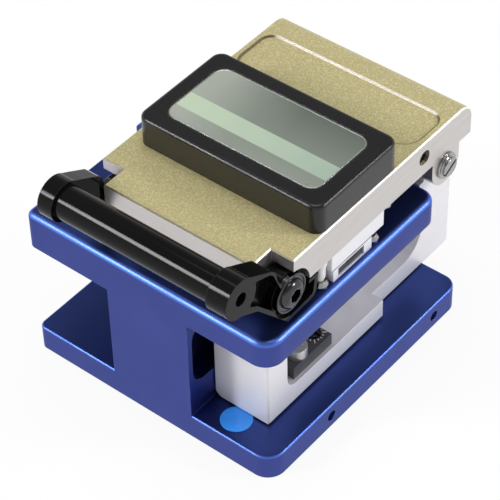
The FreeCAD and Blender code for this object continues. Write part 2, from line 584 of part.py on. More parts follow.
def slider_body():
    """Bar milled out from its right side, lighter behind the step, with a round lower front corner."""
    body = new_body("slider_body")
    add_pad(body, "XY_Plane", SLIDER_LOW, [rectangle(SLIDER_X, "slider_front", "slider_width",
            "slider_length")], SLIDER_HEIGHT)
    add_fillet(body, "slider_corner", lambda edge: along(edge, 1) and near(edge, x=SLIDER_X, z=SLIDER_LOW))
    window_top = SLIDER_HEIGHT + " - slider_floor + 1"
    add_pocket(body, "YZ_Plane", SLIDER_RIGHT, [rectangle(WINDOW_FRONT, FLOOR_Z, WINDOW_LENGTH,
               window_top)], "slider_width - back_wall")
    for radius, end in (("window_front_round", WINDOW_FRONT),
                        ("window_rear_round", WINDOW_FRONT + " + " + WINDOW_LENGTH)):
        add_fillet(body, radius, lambda edge: along(edge, 0) and near(edge, y=end, z=FLOOR_Z))
    add_pocket(body, "YZ_Plane", SLIDER_RIGHT, [rectangle("slider_front + step_place", SLIDER_LOW + " - 1",
               "slider_length - step_place + 1", SLIDER_HEIGHT + " + 2")], "side_wall")
    add_chamfer(body, "slider_edge", lambda edge: along(edge, 1) and near(edge, x=SLIDER_RIGHT, z=SLIDER_LOW)
                or along(edge, 2) and near(edge, x=SLIDER_RIGHT, y="slider_front"))
    holes = [(across, "rail_level", "m2_radius + fit_play") for across in RAIL_SCREWS]
    holes += [(across, ARM_SCREW_Z, "m2_radius") for across in ARM_SCREWS]
    add_pocket(body, "YZ_Plane", WALL_X, holes, "back_wall")
    bores = [(across, "rail_level", "m2_head * 0.9 + fit_play") for across in RAIL_SCREWS]
    add_pocket(body, "YZ_Plane", WALL_X, bores, "m2_head_height + fit_play")
    groove_y = PIN_Y + " - stop_pin_radius - slide_play"
    groove_left = GROOVE_X + " - stop_pin_radius - slide_play"
    groove_width = "2 * (stop_pin_radius + slide_play)"
    groove = rectangle(groove_left, groove_y, groove_width, "slider_travel + " + groove_width)
    add_pocket(body, "XY_Plane", SLIDER_LOW, [groove], "stop_pin_height + slide_play", away=True)
    add_pocket(body, "XY_Plane", FLOOR_Z, [(CAP_X, CAP_Y, "m2_radius * 1.2"),
               (DIAL_X, DIAL_Y, "m2_radius + running_play")], "slider_floor - 1.2")
    return body


def guide_parts():
    rail_x = SLIDER_X + " - rail_height"
    rail = new_box((rail_x, "rail_front", "rail_level - rail_width / 2"), "rail_height", "rail_length",
                   "rail_width")
    tools = [new_rod((rail_x + " + rail_thread_floor", across, "rail_level"), "x", "m2_radius", "rail_height")
             for across in RAIL_SCREWS]
    for level in ("rail_level - rail_width / 2", "rail_level + rail_width / 2"):
        tools.append(new_rod((rail_x + " + rail_groove_place", "rail_front - 1", level), "y", "rail_groove",
                             "rail_length + 2"))
    reach = "back_wall - m2_head_height - fit_play + rail_height - rail_thread_floor"
    screws = [screw((WALL_X + " - m2_head_height - fit_play", across, "rail_level"), reach, "x",
                    towards=-1, head_radius="m2_head * 0.9") for across in RAIL_SCREWS]
    return [sub_part("guide_rail", [cut_from(rail, tools)]), sub_part("rail_screws", screws)]


def blade_arm():
    """Flat bracket on the slider's inner wall that rises to the blade's spigot."""
    body = new_body("blade_arm")
    foot_low = FLOOR_Z + " + arm_foot_lift"
    foot_end = BLADE_Y + " + arm_foot_length"
    outline = [(BLADE_Y + " - arm_head_radius", BLADE_Z),
               (BLADE_Y + " - arm_head_radius", BLADE_Z + " - arm_neck"),
               (BLADE_Y + " + arm_foot_lift", foot_low + " + arm_neck"),
               (BLADE_Y + " + arm_foot_start", foot_low), (foot_end, foot_low),
               (foot_end, foot_low + " + arm_foot_height"),
               (BLADE_Y + " + arm_head_radius + 2 * arm_foot_lift", BLADE_Z + " - arm_neck - arm_foot_lift"),
               (BLADE_Y + " + arm_head_radius", BLADE_Z)]
    add_pad(body, "YZ_Plane", WALL_X, [outline], "arm_plate")
    add_pad(body, "YZ_Plane", WALL_X, [(BLADE_Y, BLADE_Z, "arm_head_radius")], "arm_plate")
    add_pad(body, "YZ_Plane", ARM_RIGHT, [(BLADE_Y, BLADE_Z, "blade_spigot + spigot_rim")], "arm_shoulder")
    add_pad(body, "YZ_Plane", ARM_RIGHT + " + arm_shoulder", [(BLADE_Y, BLADE_Z, "blade_spigot")],
            "blade_thick + running_play")
    add_pocket(body, "YZ_Plane", ARM_RIGHT, [(across, ARM_SCREW_Z, "m2_radius") for across in ARM_SCREWS],
               "arm_plate")
    thread_depth = "blade_thick + running_play + arm_shoulder + arm_plate - arm_thread_floor"
    add_pocket(body, "YZ_Plane", ARM_RIGHT + " + arm_shoulder + blade_thick + running_play",
               [(BLADE_Y, BLADE_Z, "m2_radius")], thread_depth)
    return body


def blade_wheel():
    """Round blade with a bevelled rim and a bore for the spigot."""
    body = new_body("blade_wheel")
    start = ARM_RIGHT + " + arm_shoulder + running_play / 2"
    add_pad(body, "YZ_Plane", start, [(BLADE_Y, BLADE_Z, "blade_radius")], "blade_thick")
    add_chamfer(body, "blade_bevel * 0.45", lambda edge: near(edge, y=BLADE_Y, z=BLADE_Z))
    bore = (BLADE_Y, BLADE_Z, "blade_spigot + running_play")
    add_pocket(body, "YZ_Plane", start + " + blade_thick", [bore], "blade_thick")
    return body


def adjuster_parts():
    """Block in the slider's window with the blade height dial and the cap screw that holds it."""
    block = new_box((BLOCK_X, "block_front", FLOOR_Z), "block_width", "block_length", "block_height")
    tools = [new_rod((CAP_X, CAP_Y, FLOOR_Z), "z", "m2_radius * 1.2", "block_height"),
             new_rod((DIAL_X, DIAL_Y, FLOOR_Z), "z", "m2_radius + running_play", "block_height"),
             new_rod((DIAL_X, DIAL_Y, BLOCK_TOP + " - 0.6"), "z", "dial_radius + running_play", "1")]
    cap = screw((CAP_X, CAP_Y, BLOCK_TOP), "block_height + slider_floor - 1.2", "z", towards=-1,
                radius="m2_radius * 1.2", head_radius="cap_radius", head_height="cap_height",
                socket="m2_radius")
    dial_head = new_rod((DIAL_X, DIAL_Y, BLOCK_TOP + " - 0.6 + running_play"), "z", "dial_radius", "0.9")
    dial_shank = new_rod((DIAL_X, DIAL_Y, BLOCK_TOP + " - " + DIAL_DEPTH), "z", "m2_radius", DIAL_DEPTH)
    dial_slot = new_box((DIAL_X + " - dial_radius", DIAL_Y + " - 0.25", BLOCK_TOP + " - 0.1"),
                        "2 * dial_radius", "0.5", "1")
    dial = cut_from(fused([dial_head, dial_shank]), [dial_slot])
    arm_screws = [screw((ARM_RIGHT, across, ARM_SCREW_Z), "arm_plate + back_wall - tip_gap", "x", towards=-1,
                        head_height="m2_head_height * 0.9") for across in ARM_SCREWS]
    screw_x = ARM_RIGHT + " + arm_shoulder + blade_thick + running_play"
    blade_screw = screw((screw_x, BLADE_Y, BLADE_Z), "blade_thick + arm_shoulder + arm_plate - tip_gap", "x",
                        towards=-1, head_radius="blade_screw_radius", head_height="blade_screw_head",
                        socket="m2_radius * 1.1")
    return [sub_part("adjuster_block", [cut_from(block, tools)]), sub_part("adjuster_cap_screw", [cap]),
            sub_part("height_dial", [dial]), sub_part("blade_arm_screws", arm_screws),
            sub_part("blade_screw", [blade_screw])]


# ---------------------------------------------------------------- lid

COVER_SCREWS = [(across, depth)
                for across in ("(lid_centre - cover_screw_left)", "(lid_centre + cover_screw_right)")
                for depth in ("(cover_front + cover_screw_front)",
                              "(cover_front + cover_depth - cover_screw_rear)")]
UPPER_SCREWS = [(left + " + lower_block_width / 2", "upper_block_front " + step)
                for left in (LEFT_BLOCK_X, RIGHT_BLOCK_X)
                for step in ("+ upper_screw_place", "+ upper_block_depth - upper_screw_place")]
ANVIL_POCKET_X = "(blade_plane - anvil_pocket_width / 2)"


def lid_plate():
    body = new_body("lid_plate")
    outline = [(LID_LEFT, "lid_front"), (TAB_LEFT, "lid_front"), (TAB_LEFT, "tab_front"),
               (TAB_RIGHT, "tab_front"), (TAB_RIGHT, "lid_front"), (LID_RIGHT, "lid_front"),
               (LID_RIGHT, LID_REAR), (LID_LEFT, LID_REAR)]
    add_pad(body, "XY_Plane", "lid_low", [outline], "lid_top - lid_low")
    add_fillet(body, "lid_rear_round", lambda edge: along(edge, 0) and near(edge, y=LID_REAR, z="lid_top"))
    add_chamfer(body, "lid_edge", lambda edge: near(edge, z="lid_top"))
    for side in (-1, 1):
        ear_x = mirrored_x(side, "lid_width / 2 - ear_thick", "ear_thick")
        root = rectangle(HINGE_Y + " - ear_radius", "hinge_level", "2 * ear_radius",
                         "lid_low - hinge_level")
        add_pad(body, "YZ_Plane", ear_x, [root], "ear_thick")
        add_pad(body, "YZ_Plane", ear_x, [(HINGE_Y, "hinge_level", "ear_radius")], "ear_thick")
        lug_x = mirrored_x(side, HALF_TAB + " - lug_width", "lug_width")
        add_pad(body, "YZ_Plane", lug_x, [("pivot_front", "pivot_level", "lug_radius")], "lug_width")
        tip_x = mirrored_x(side, HALF_TAB, "arm_thick + side_play")
        add_pocket(body, "YZ_Plane", tip_x, [("pivot_front", "pivot_level", "lid_cutout")],
                   "arm_thick + side_play", away=True)
        add_pocket(body, "YZ_Plane", ear_x, [(HINGE_Y, "hinge_level", "hinge_pin + running_play")],
                   "ear_thick", away=True)
        spring_x = mirrored_x(side, HALF_TAB + " - spring_room", "spring_room")
        add_pocket(body, "YZ_Plane", spring_x, [("pivot_front", "pivot_level", "lug_radius - lug_wall")],
                   "spring_room", away=True)
        add_pocket(body, "YZ_Plane", lug_x, [("pivot_front", "pivot_level", "pivot_pin * 0.7")],
                   "lug_width", away=True)
    # bare recessed panel behind the cover
    panel_rear = LID_REAR + " - panel_back"
    panel_front = panel_rear + " - panel_length"
    add_pocket(body, "XY_Plane", "lid_top", [rectangle(LID_LEFT + " + panel_inset", panel_front,
               "lid_width - 2 * panel_inset", "panel_length")], "panel_depth")
    left_end = LID_LEFT + " + panel_inset"
    right_end = LID_RIGHT + " - panel_inset"
    for radius, across, depths in (("panel_round", left_end, (panel_front, panel_rear)),
                                   ("panel_round", right_end, panel_rear),
                                   ("panel_wide_round", right_end, panel_front)):
        add_fillet(body, radius, lambda edge: along(edge, 2) and near(edge, x=across, y=depths))
    # pocket and pin hole for the anvil lever
    add_pocket(body, "XY_Plane", "lid_low", [rectangle(ANVIL_POCKET_X, "anvil_pocket_front",
               "anvil_pocket_width", "anvil_pocket_rear - anvil_pocket_front")],
               "lid_top - lid_skin - lid_low", away=True)
    add_pocket(body, "YZ_Plane", LID_RIGHT, [("anvil_front", "anvil_level", "anvil_pin")],
               LID_RIGHT + " - %s + 3" % ANVIL_POCKET_X)
    bores = [(across, depth, "m2_head * 0.9 + fit_play") for across, depth in COVER_SCREWS]
    add_pocket(body, "XY_Plane", "lid_low", bores, "m2_head_height + fit_play", away=True)
    holes = [(across, depth, "m2_radius") for across, depth in COVER_SCREWS]
    add_pocket(body, "XY_Plane", "lid_low", holes, "lid_top - lid_low", away=True)
    threads = [(across, depth, "small_radius") for across, depth in UPPER_SCREWS]
    add_pocket(body, "XY_Plane", "lid_low", threads, "upper_screw_root", away=True)
    return body


def top_cover():
    body = new_body("top_cover")
    sides = (COVER_LEFT, COVER_LEFT + " + " + COVER_WIDTH)
    add_pad(body, "XY_Plane", "lid_top", [rectangle(COVER_LEFT, "cover_front", COVER_WIDTH, "cover_depth")],
            "cover_height")
    add_fillet(body, "cover_round", lambda edge: along(edge, 2) and near(edge, x=sides))
    add_fillet(body, "cover_edge", lambda edge: near(edge, z="lid_top + cover_height"))
    add_pocket(body, "XY_Plane", "lid_top + cover_height", [rectangle(COVER_LEFT + " + label_inset",
               "cover_front + label_inset", COVER_WIDTH + " - 2 * label_inset",
               "cover_depth - 2 * label_inset")], "label_thick + label_sink")
    label_sides = (COVER_LEFT + " + label_inset", COVER_LEFT + " + %s - label_inset" % COVER_WIDTH)
    add_fillet(body, "label_round", lambda edge: along(edge, 2) and near(edge, x=label_sides))
    holes = [(across, depth, "m2_radius") for across, depth in COVER_SCREWS]
    add_pocket(body, "XY_Plane", "lid_top", holes, "cover_screw_root", away=True)
    return body


def cover_label():
    body = new_body("cover_label")
    bed = "lid_top + cover_height - label_thick - label_sink"
    gap = "label_inset + fit_play"
    add_pad(body, "XY_Plane", bed, [rectangle(COVER_LEFT + " + " + gap, "cover_front + " + gap,
            COVER_WIDTH + " - 2 * (%s)" % gap, "cover_depth - 2 * (%s)" % gap)], "label_thick")
    add_fillet(body, "label_round - fit_play", lambda edge: along(edge, 2))
    return body


def coil(place, axis, radius, wire, pitch, turns):
    """A helical spring of square wire that runs from a point towards +x, +y or +z."""
    body = doc.addObject("PartDesign::Body", "Coil")
    section = rectangle("%s - %s / 2" % (radius, wire), "0", wire, wire)
    helix = body.newObject("PartDesign::AdditiveHelix", "Helix")
    helix.Profile = new_sketch(body, "XZ_Plane", "0", [section])
    helix.ReferenceAxis = (helix.Profile[0], ["V_Axis"])
    helix.Mode = "pitch-height-angle"
    bind(helix, Pitch=pitch, Height="(%s) * (%s)" % (pitch, turns))
    return place_at(body, place, axis)


def lid_fittings():
    upper_low = "(fibre_level + pad_rise)"
    block_height = "(lid_low - fibre_level - pad_rise)"
    blocks = []
    pads = []
    for left, width in CLAMP_BLOCKS:
        solid = new_box((left, "upper_block_front", upper_low), width, "upper_block_depth", block_height)
        pad_place = (left + " + pad_inset", "fibre_line - pad_width / 2", "fibre_level")
        pad_length = "lower_block_width - 2 * pad_inset"
        tools = [new_box(pad_place, pad_length, "pad_width", "pad_thick")]
        for across, depth in UPPER_SCREWS:
            tools.append(new_rod((across, depth, upper_low), "z", "small_radius", block_height))
            tools.append(new_rod((across, depth, upper_low), "z", "small_head + fit_play", "small_seat"))
        blocks.append(cut_from(solid, tools))
        pads.append(new_box(pad_place, pad_length, "pad_width", "pad_thick"))
    screws = [screw((across, depth, upper_low + " + small_seat"),
                    block_height + " - small_seat + upper_screw_root", "z", radius="small_radius",
                    head_radius="small_head", head_height="small_head_height", socket="m2_radius * 0.6")
              for across, depth in UPPER_SCREWS]
    cover_screws = [screw((across, depth, "lid_low + m2_head_height + fit_play"),
                          "lid_top - lid_low - m2_head_height - fit_play + cover_screw_root", "z",
                          head_radius="m2_head * 0.9") for across, depth in COVER_SCREWS]
    bumper = new_rod((STOP_PLACES[0][0], STOP_PLACES[0][1], STOP_Z), "z", "bumper_radius",
                     "lid_low - plate_top - stop_head_height")
    magnet = new_rod(("lid_centre + magnet_side", "magnet_front", "lid_low - magnet_height"), "z",
                     "magnet_radius", "magnet_height")
    pin = new_rod((ANVIL_POCKET_X + " - 2.4", "anvil_front", "anvil_level"), "x", "anvil_pin",
                  LID_RIGHT + " - %s + 1.6" % ANVIL_POCKET_X)
    pivots = [pivot_screw(side) for side in (-1, 1)]
    return [sub_part("left_upper_clamp_block", blocks[:1]), sub_part("right_upper_clamp_block", blocks[1:]),
            sub_part("upper_clamp_pads", pads), sub_part("upper_block_screws", screws),
            sub_part("cover_screws", cover_screws), sub_part("lid_bumper", [bumper]),
            sub_part("lid_magnet", [magnet]), sub_part("anvil_pivot_pin", [pin]),
            sub_part("handle_pivot_screws", pivots)]


def arm_outside(side):
    """Distance from the lid's centre plane to an arm's outer face; the left arm stands in from the side."""
    return "(lid_width / 2)" if side > 0 else "(lid_width / 2 - left_arm_inset)"


def pivot_screw(side):
    """Shoulder screw with a wide domed head that holds a handle arm to the lid's lug."""
    seat = arm_outside(side) + " - pivot_sink + running_play"
    centre = ("pivot_front", "pivot_level")
    thread_x = mirrored_x(side, HALF_TAB + " - lug_width", "lug_width - spring_room")
    shoulder_length = "%s - %s + spring_room" % (seat, HALF_TAB)
    shoulder_x = mirrored_x(side, HALF_TAB + " - spring_room", shoulder_length)
    head_x = mirrored_x(side, seat, "pivot_head_thick")
    dome_radius = "(pivot_head - pivot_dome_inset)"
    dome_x = mirrored_x(side, seat + " + pivot_head_thick")
    solid = fused([new_rod((thread_x,) + centre, "x", "pivot_pin * 0.7", "lug_width - spring_room"),
                   new_rod((shoulder_x,) + centre, "x", "pivot_pin", shoulder_length),
                   new_rod((head_x,) + centre, "x", "pivot_head", "pivot_head_thick"),
                   new_dome((dome_x,) + centre, side, dome_radius, "pivot_dome")])
    socket_x = mirrored_x(side, seat + " + pivot_head_thick + pivot_dome - pivot_socket_depth",
                          "pivot_socket_depth + 1")
    return cut_from(solid, [new_prism((socket_x,) + centre, "x", "pivot_socket", "pivot_socket_depth + 1")])


def springs():
    """Torsion springs round the pivot screws, and the spring over the anvil lever's tail."""
    coils = []
    coil_length = "handle_coil_pitch * handle_coil_turns + handle_wire"
    for side in (-1, 1):
        start = mirrored_x(side, HALF_TAB + " - spring_room", coil_length)
        coils.append(coil((start, "pivot_front", "pivot_level"), "x", "handle_coil_radius", "handle_wire",
                          "handle_coil_pitch", "handle_coil_turns"))
    low = "anvil_level - anvil_tail_drop + running_play"
    room = "lid_top - lid_skin - anvil_level + anvil_tail_drop - 2 * running_play - anvil_wire"
    place = ("blade_plane", "anvil_front + anvil_tail - anvil_coil_radius - 0.4", low)
    lifter = coil(place, "z", "anvil_coil_radius", "anvil_wire", "(%s) / anvil_coil_turns" % room,
                  "anvil_coil_turns")
    return [sub_part("handle_springs", coils), sub_part("anvil_spring", [lifter])]


def anvil_lever():
    """Lever from the pin to a tip over the fibre, with a tail under the spring that lifts the tip."""
    body = new_body("anvil_lever")
    start = "blade_plane - anvil_width / 2"
    low = "anvil_level - 2.4"
    tip_low = "(fibre_level + anvil_tip_play + 1.6)"
    outline = [("fibre_line - 1.8", tip_low), ("fibre_line + 1.8", tip_low), ("fibre_line + 2.6", low),
               ("anvil_front + anvil_tail", low),
               ("anvil_front + anvil_tail", "anvil_level - anvil_tail_drop"),
               ("anvil_front + 2", "anvil_level - anvil_tail_drop"),
               ("anvil_front", "anvil_level + anvil_boss"),
               ("anvil_front - 4", "anvil_level + 1.4"),
               ("fibre_line - 1.8", "anvil_level + 1.4")]
    add_pad(body, "YZ_Plane", start, [outline], "anvil_width")
    add_pad(body, "YZ_Plane", start, [("anvil_front", "anvil_level", "anvil_boss")], "anvil_width")
    add_pocket(body, "YZ_Plane", start, [("anvil_front", "anvil_level", "anvil_pin + running_play")],
               "anvil_width", away=True)
    add_pocket(body, "XY_Plane", tip_low, [("blade_plane", "fibre_line", "anvil_tip_radius")], "2", away=True)
    return body


def anvil_tip():
    low = "fibre_level + anvil_tip_play"
    pin = new_rod(("blade_plane", "fibre_line", low + " + 0.4"), "z", "anvil_tip_radius", "3.2")
    nose = new_cone(("blade_plane", "fibre_line", low), "z", "anvil_tip_radius - 0.4", "anvil_tip_radius",
                    "0.4")
    return sub_part("anvil_tip", [fused([pin, nose])])


# ---------------------------------------------------------------- handle

def handle_arm(label, side):
    """Ribbed arm: boss round the grip at its front, pivot boss in the middle, heel over the plate."""
    body = new_body(label)
    outer = arm_outside(side)
    inner = "(lid_width / 2 - arm_thick)"
    thick = "(%s - %s)" % (outer, inner)
    pocket_depth = "(%s - arm_web)" % thick
    inner_x = mirrored_x(side, inner, thick)
    outer_x = mirrored_x(side, outer)
    away = side < 0

    def spots(*places):
        return [("pivot_front + %s" % forward, "pivot_level + %s" % rise) for forward, rise in places]

    grip_circle = (GRIP_Y, GRIP_Z, "grip_boss")
    pivot_circle = ("pivot_front", "pivot_level", "pivot_boss")
    outline = spots((-13.94, 14.87), (-10.2, 12.89), (-6.03, 10.58), (-4.94, 9.4), (-4.3, 6.5), (-2.6, 4.1),
                    (3.2, 3.4), (4.6, -0.4), (8.0, -0.5), (7.4, -4.8), (6.4, -6.0), (-1.4, -6.46),
                    (-10.27, 3.64), (-17.97, 7.78))
    for shape in (outline, grip_circle, pivot_circle):
        add_pad(body, "YZ_Plane", inner_x, [shape], thick)
    front_pocket = spots((-10.6, 11.59), (-6.6, 10.15), (-5.51, 9.03), (-4.72, 7.04), (-3.0, 3.0),
                         (-2.33, -3.99), (-10.41, 5.08), (-12.58, 6.5))
    rear_pocket = spots((3.6, -1.2), (6.97, -1.3), (6.45, -4.4), (5.9, -5.05), (-0.9, -5.46), (0, -3.0))
    for shape in (front_pocket, rear_pocket):
        add_pocket(body, "YZ_Plane", outer_x, [shape], pocket_depth, away=away)
    boss_x = mirrored_x(side, outer + " - " + pocket_depth, pocket_depth)
    for shape in (grip_circle, pivot_circle):
        add_pad(body, "YZ_Plane", boss_x, [shape], pocket_depth)
    for shape, depth in (((GRIP_Y, GRIP_Z, "grip_hole"), thick + " - grip_seat"),
                         ((GRIP_Y, GRIP_Z, "small_radius"), thick),
                         (("pivot_front", "pivot_level", "pivot_head + pivot_head_play"), "pivot_sink"),
                         (("pivot_front", "pivot_level", "pivot_pin + running_play"), thick)):
        add_pocket(body, "YZ_Plane", outer_x, [shape], depth, away=away)
    return body


def grip_parts():
    half = "lid_width / 2 - arm_thick"
    bar = new_rod(("lid_centre - (%s)" % half, GRIP_Y, GRIP_Z), "x", "grip_radius", "2 * (%s)" % half)
    tools = []
    screws = []
    for side in (-1, 1):
        thread_x = mirrored_x(side, half + " - grip_thread", "grip_thread")
        tools.append(new_rod((thread_x, GRIP_Y, GRIP_Z), "x", "small_radius", "grip_thread"))
        seat = mirrored_x(side, half + " + grip_seat")
        screws.append(screw((seat, GRIP_Y, GRIP_Z), "grip_thread + grip_seat", "x", radius="small_radius",
                            head_radius="grip_hole - fit_play", head_height="grip_seat", towards=-side,
                            socket="m2_radius * 0.7"))
    return [sub_part("grip_bar", [cut_from(bar, tools)]), sub_part("grip_screws", screws)]


# ---------------------------------------------------------------- build, check and export

parts = [main_frame(), slider_body(), blade_arm(), blade_wheel(), lid_plate(), top_cover(), cover_label(),
         anvil_lever(), handle_arm("left_handle_arm", -1), handle_arm("right_handle_arm", 1)]
parts += frame_fittings() + lower_clamps() + hinge_parts() + guide_parts() + adjuster_parts()
parts += lid_fittings() + grip_parts() + [anvil_tip()] + springs()
doc.recompute()

for thing in doc.Objects:
    broken = [state for state in thing.State if state in ("Invalid", "Error")]
    assert not broken, "%s (%s) failed: %s" % (thing.Name, thing.Label, thing.State)
for part in parts:
    assert not part.Shape.isNull() and part.Shape.isValid(), "%s has no valid shape" % part.Label

os.makedirs("parts", exist_ok=True)
for part in parts:
    part.Shape.exportStep("parts/%s.step" % part.Label)
    print("%-26s %2d solids  %9.1f mm3" % (part.Label, len(part.Shape.Solids), part.Shape.Volume))
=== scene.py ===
"""Fibre cleaver: finishes, small detail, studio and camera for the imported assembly."""
import json
import math

import bmesh
import bpy
from mathutils import Matrix, Vector

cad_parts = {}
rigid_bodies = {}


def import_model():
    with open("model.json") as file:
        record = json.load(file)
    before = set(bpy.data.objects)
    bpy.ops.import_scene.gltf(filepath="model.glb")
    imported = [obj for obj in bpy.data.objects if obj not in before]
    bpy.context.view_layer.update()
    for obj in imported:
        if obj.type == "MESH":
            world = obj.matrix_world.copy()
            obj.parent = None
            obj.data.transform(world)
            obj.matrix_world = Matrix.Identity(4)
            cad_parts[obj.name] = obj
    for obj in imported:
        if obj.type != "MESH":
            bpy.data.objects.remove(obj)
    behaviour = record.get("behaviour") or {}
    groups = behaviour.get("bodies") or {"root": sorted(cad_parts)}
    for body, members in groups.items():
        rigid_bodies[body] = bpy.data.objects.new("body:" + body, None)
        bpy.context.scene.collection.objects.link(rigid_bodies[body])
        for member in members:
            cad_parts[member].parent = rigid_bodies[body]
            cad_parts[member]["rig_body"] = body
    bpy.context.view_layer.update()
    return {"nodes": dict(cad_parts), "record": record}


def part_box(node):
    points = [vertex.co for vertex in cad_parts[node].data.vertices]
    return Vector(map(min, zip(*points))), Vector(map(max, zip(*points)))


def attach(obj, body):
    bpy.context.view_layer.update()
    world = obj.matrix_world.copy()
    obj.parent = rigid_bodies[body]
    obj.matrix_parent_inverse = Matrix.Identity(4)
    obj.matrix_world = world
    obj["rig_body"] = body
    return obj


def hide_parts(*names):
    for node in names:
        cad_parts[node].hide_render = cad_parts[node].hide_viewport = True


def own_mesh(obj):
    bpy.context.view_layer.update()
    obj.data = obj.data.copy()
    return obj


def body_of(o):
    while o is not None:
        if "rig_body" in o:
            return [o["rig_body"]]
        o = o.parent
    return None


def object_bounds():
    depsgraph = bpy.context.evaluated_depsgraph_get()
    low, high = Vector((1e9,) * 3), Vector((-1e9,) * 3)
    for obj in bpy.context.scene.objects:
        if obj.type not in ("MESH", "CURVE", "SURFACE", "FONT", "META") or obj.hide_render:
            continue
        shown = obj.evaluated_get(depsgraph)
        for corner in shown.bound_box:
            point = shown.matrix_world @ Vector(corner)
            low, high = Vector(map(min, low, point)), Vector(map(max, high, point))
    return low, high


MM = 0.001
EDGE_SOFTNESS = 0.15 * MM
ROUND_STEPS = 48
CORNER_STEPS = 10
ARC_STEPS = 16
SMOOTH_ANGLE = math.radians(32)

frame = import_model()
nodes = frame["nodes"]


# ------------------------------------------------------------------ shader groups

def new_group(name, inputs, outputs):
    """A shader group with value inputs and outputs, and its two end nodes."""
    group = bpy.data.node_groups.new(name, "ShaderNodeTree")
    for label, kind, default in inputs:
        socket = group.interface.new_socket(label, in_out="INPUT", socket_type=kind)
        socket.default_value = default
    for label, kind in outputs:
        group.interface.new_socket(label, in_out="OUTPUT", socket_type=kind)
    start = group.nodes.new("NodeGroupInput")
    end = group.nodes.new("NodeGroupOutput")
    return group, start, end


def add_node(tree, kind, links=None, **settings):
    """A node with its settings, and its input sockets linked or set."""
    node = tree.nodes.new(kind)
    for name, setting in settings.items():
        setattr(node, name, setting)
    for socket, source in (links or {}).items():
        if isinstance(source, bpy.types.NodeSocket):
            tree.links.new(source, node.inputs[socket])
        else:
            node.inputs[socket].default_value = source
    return node


def maths(tree, operation, first, second=0.0, clamp=False):
    """Two values put through one operation."""
    return add_node(tree, "ShaderNodeMath", {0: first, 1: second},
                    operation=operation, use_clamp=clamp).outputs[0]


def multiplied(tree, *factors):
    """The product of two or more values."""
    product = factors[0]
    for factor in factors[1:]:
        product = maths(tree, "MULTIPLY", product, factor)
    return product


def on_piece(tree, reading="Object"):
    """A place on the piece, or with "Normal" the way its surface faces."""
    return add_node(tree, "ShaderNodeTexCoord").outputs[reading]


def split(tree, vector):
    """The X, Y and Z of a vector, by name."""
    return add_node(tree, "ShaderNodeSeparateXYZ", {0: vector}).outputs


def remap(tree, source, from_low, from_high, to_low=0.0, to_high=1.0):
    """A value carried from one range to another and held inside it."""
    return add_node(tree, "ShaderNodeMapRange", {
        "Value": source, "From Min": from_low, "From Max": from_high,
        "To Min": to_low, "To Max": to_high}).outputs["Result"]


def mixed(tree, factor, first, second):
    """A colour between two, the second where the factor is 1."""
    node = add_node(tree, "ShaderNodeMix", data_type="RGBA")
    for index, source in ((0, factor), (6, first), (7, second)):
        if isinstance(source, bpy.types.NodeSocket):
            tree.links.new(source, node.inputs[index])
        else:
            node.inputs[index].default_value = source
    return node.outputs[2]


def make_blasted_grain():
    """The fine pitted grain of bead-blasted, anodised aluminium."""
    group, start, end = new_group("Blasted Grain", [("Size", "NodeSocketFloat", 2500.0)],
                                  [("Height", "NodeSocketFloat"), ("Mottle", "NodeSocketFloat")])
    place = on_piece(group)
    fine = add_node(group, "ShaderNodeTexNoise", {
        "Vector": place, "Scale": start.outputs["Size"], "Detail": 3.0, "Roughness": 0.6})
    pits = add_node(group, "ShaderNodeTexVoronoi", {
        "Vector": place, "Scale": multiplied(group, start.outputs["Size"], 0.6)})
    height = maths(group, "ADD", fine.outputs[0], multiplied(group, pits.outputs["Distance"], 0.5))
    broad = add_node(group, "ShaderNodeTexNoise", {"Vector": place, "Scale": 60.0, "Detail": 2.0})
    group.links.new(height, end.inputs["Height"])
    group.links.new(broad.outputs[0], end.inputs["Mottle"])
    return group


def make_cutter_marks():
    """Faint parallel marks that a milling cutter or a lathe tool leaves, along one axis."""
    group, start, end = new_group("Cutter Marks", [("Stretch", "NodeSocketVector", (1.0, 1.0, 1.0)),
                                                   ("Size", "NodeSocketFloat", 900.0)],
                                  [("Height", "NodeSocketFloat"), ("Sheen", "NodeSocketFloat")])
    place = on_piece(group)
    drawn = add_node(group, "ShaderNodeVectorMath", {0: place, 1: start.outputs["Stretch"]},
                     operation="MULTIPLY").outputs[0]
    lines = add_node(group, "ShaderNodeTexNoise", {
        "Vector": drawn, "Scale": start.outputs["Size"], "Detail": 4.0, "Roughness": 0.7})
    group.links.new(lines.outputs[0], end.inputs["Height"])
    group.links.new(remap(group, lines.outputs[0], 0.3, 0.7), end.inputs["Sheen"])
    return group


def make_edge_wear_and_highlight():
    """A mask of the edges, broken up by noise: where the finish wears through, and where some finishes
    take a painted highlight.
    """
    group, start, end = new_group("Edge Wear And Highlight", [("Width", "NodeSocketFloat", 0.2 * MM),
                                                ("Amount", "NodeSocketFloat", 0.5)],
                                  [("Mask", "NodeSocketFloat")])
    bevel = add_node(group, "ShaderNodeBevel", {"Radius": start.outputs["Width"]}, samples=4)
    flat = add_node(group, "ShaderNodeNewGeometry").outputs["Normal"]
    agreement = add_node(group, "ShaderNodeVectorMath", {0: bevel.outputs[0], 1: flat},
                         operation="DOT_PRODUCT").outputs["Value"]
    bend = remap(group, agreement, 0.995, 0.93)
    place = on_piece(group)
    patchy = add_node(group, "ShaderNodeTexNoise",
                      {"Vector": place, "Scale": 300.0, "Detail": 4.0}).outputs[0]
    share = multiplied(group, remap(group, patchy, 0.35, 0.65), start.outputs["Amount"])
    group.links.new(maths(group, "MULTIPLY", bend, share, clamp=True), end.inputs["Mask"])
    return group


